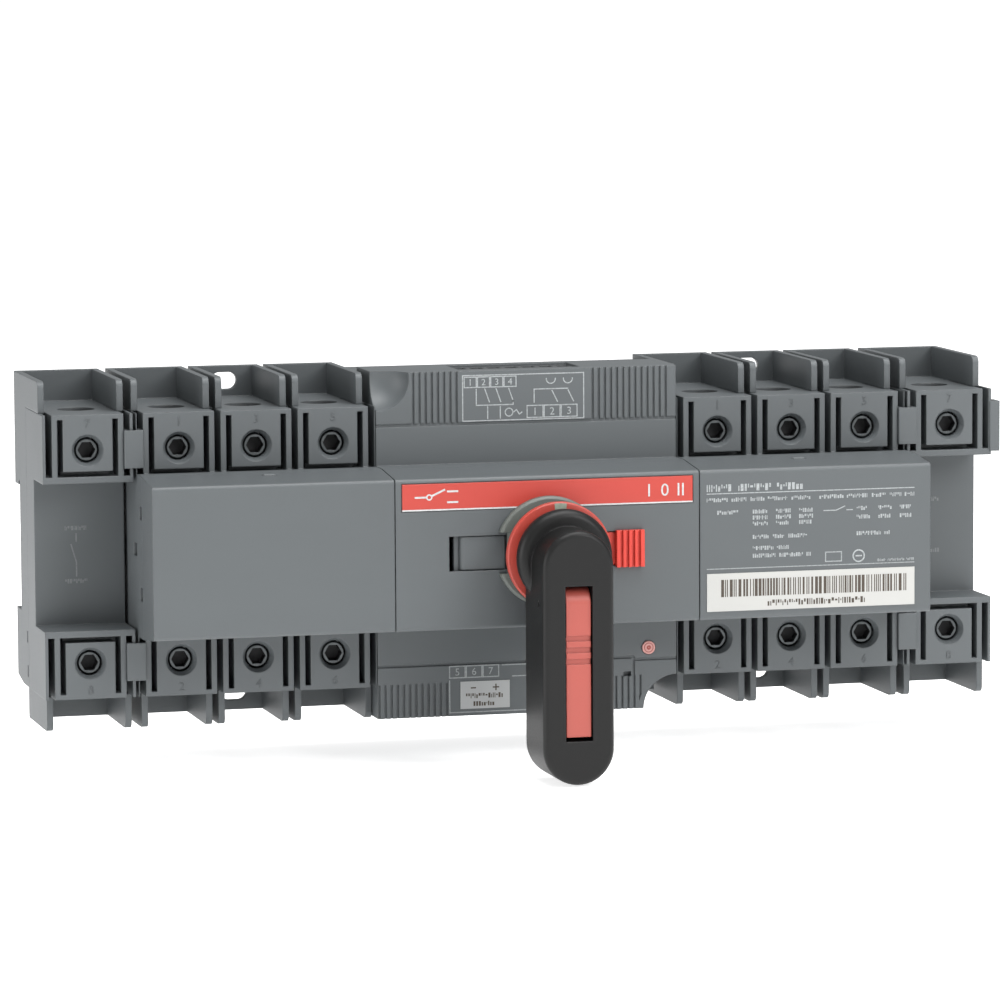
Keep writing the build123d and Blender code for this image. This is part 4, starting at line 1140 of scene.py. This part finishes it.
@dataclass
class Softbox:
    """A rectangular soft light that looks at the object."""

    name: str
    place: tuple[float, float, float]
    width: float
    height: float
    power: float
    colour: Colour = (1.0, 1.0, 1.0)
    target: tuple[float, float, float] = (0.0, -0.05, 0.0)

    def build(self) -> None:
        """Hang the light."""
        lamp = bpy.data.lights.new(self.name, "AREA")
        lamp.shape = "RECTANGLE"
        lamp.size, lamp.size_y, lamp.energy, lamp.color = self.width, self.height, self.power, self.colour
        holder = bpy.data.objects.new(self.name, lamp)
        bpy.context.scene.collection.objects.link(holder)
        holder.location = self.place
        aim = Vector(self.target) - Vector(self.place)
        holder.rotation_euler = aim.to_track_quat("-Z", "Y").to_euler()


@dataclass
class Studio:
    """Pale floor, soft lights and the camera."""

    camera_place: tuple[float, float, float] = (-0.4302, -1.6918, 0.1958)
    yaw: float = -14.512
    pitch: float = -5.877
    roll: float = 1.862
    lens: float = 204.7
    sensor: float = 36.0
    floor_reach: float = 40.0
    floor_gap: float = 0.0006
    sky: float = 0.42

    def build(self) -> None:
        """Set up everything that is not part of the object."""
        self.build_camera()
        self.build_floor()
        self.build_light()
        bpy.context.scene.view_settings.view_transform = "Standard"

    def build_camera(self) -> None:
        """Place the camera: yaw about Z first, then pitch about X, then roll about Y."""
        data = bpy.data.cameras.new("camera")
        data.lens, data.sensor_width = self.lens, self.sensor
        data.clip_start, data.clip_end = 0.05, 200.0
        camera = bpy.data.objects.new("camera", data)
        bpy.context.scene.collection.objects.link(camera)
        turn = Matrix.Identity(4)
        for angle, axis in ((self.roll, "Y"), (self.pitch, "X"), (self.yaw, "Z"), (90.0, "X")):
            turn = turn @ Matrix.Rotation(math.radians(angle), 4, axis)
        camera.matrix_world = Matrix.Translation(self.camera_place) @ turn
        bpy.context.scene.camera = camera

    def build_floor(self) -> None:
        """Lay a wide sheet of pale paper under the object."""
        mesh = bmesh.new()
        level = CAD_BOX[0].z - self.floor_gap
        reach = self.floor_reach
        signs = ((-1, -1), (1, -1), (1, 1), (-1, 1))
        corners = [mesh.verts.new((x * reach, y * reach, level)) for x, y in signs]
        mesh.faces.new(corners)
        data = bpy.data.meshes.new("floor")
        mesh.to_mesh(data)
        mesh.free()
        data.materials.append(PAPER.material())
        floor = bpy.data.objects.new("floor", data)
        bpy.context.scene.collection.objects.link(floor)

    def build_light(self) -> None:
        """Hang the soft lights and brighten the surroundings."""
        Softbox("top_light", (0.15, -0.35, 1.3), 1.3, 0.9, 30.0).build()
        Softbox("front_right_light", (0.9, -1.5, 0.9), 0.8, 0.8, 22.0).build()
        Softbox("left_light", (-1.5, -0.25, 0.3), 0.9, 0.8, 11.5).build()
        world = bpy.data.worlds.new("surroundings")
        world.use_nodes = True
        ground = world.node_tree.nodes["Background"]
        ground.inputs["Color"].default_value = (1.0, 1.0, 1.0, 1.0)
        ground.inputs["Strength"].default_value = self.sky
        bpy.context.scene.world = world


def main() -> None:
    """Build every sub-assembly in order."""
    logging.basicConfig(level=logging.INFO, format="%(name)s: %(message)s")
    for side in Side:
        unit = SwitchUnit(side)
        unit.dress()
        unit.build()
    mechanism = Mechanism()
    mechanism.dress()
    mechanism.build()
    RatingPlate().build()
    handle = Handle()
    handle.dress()
    handle.build()
    Studio().build()


if __name__ == "__main__":
    main()
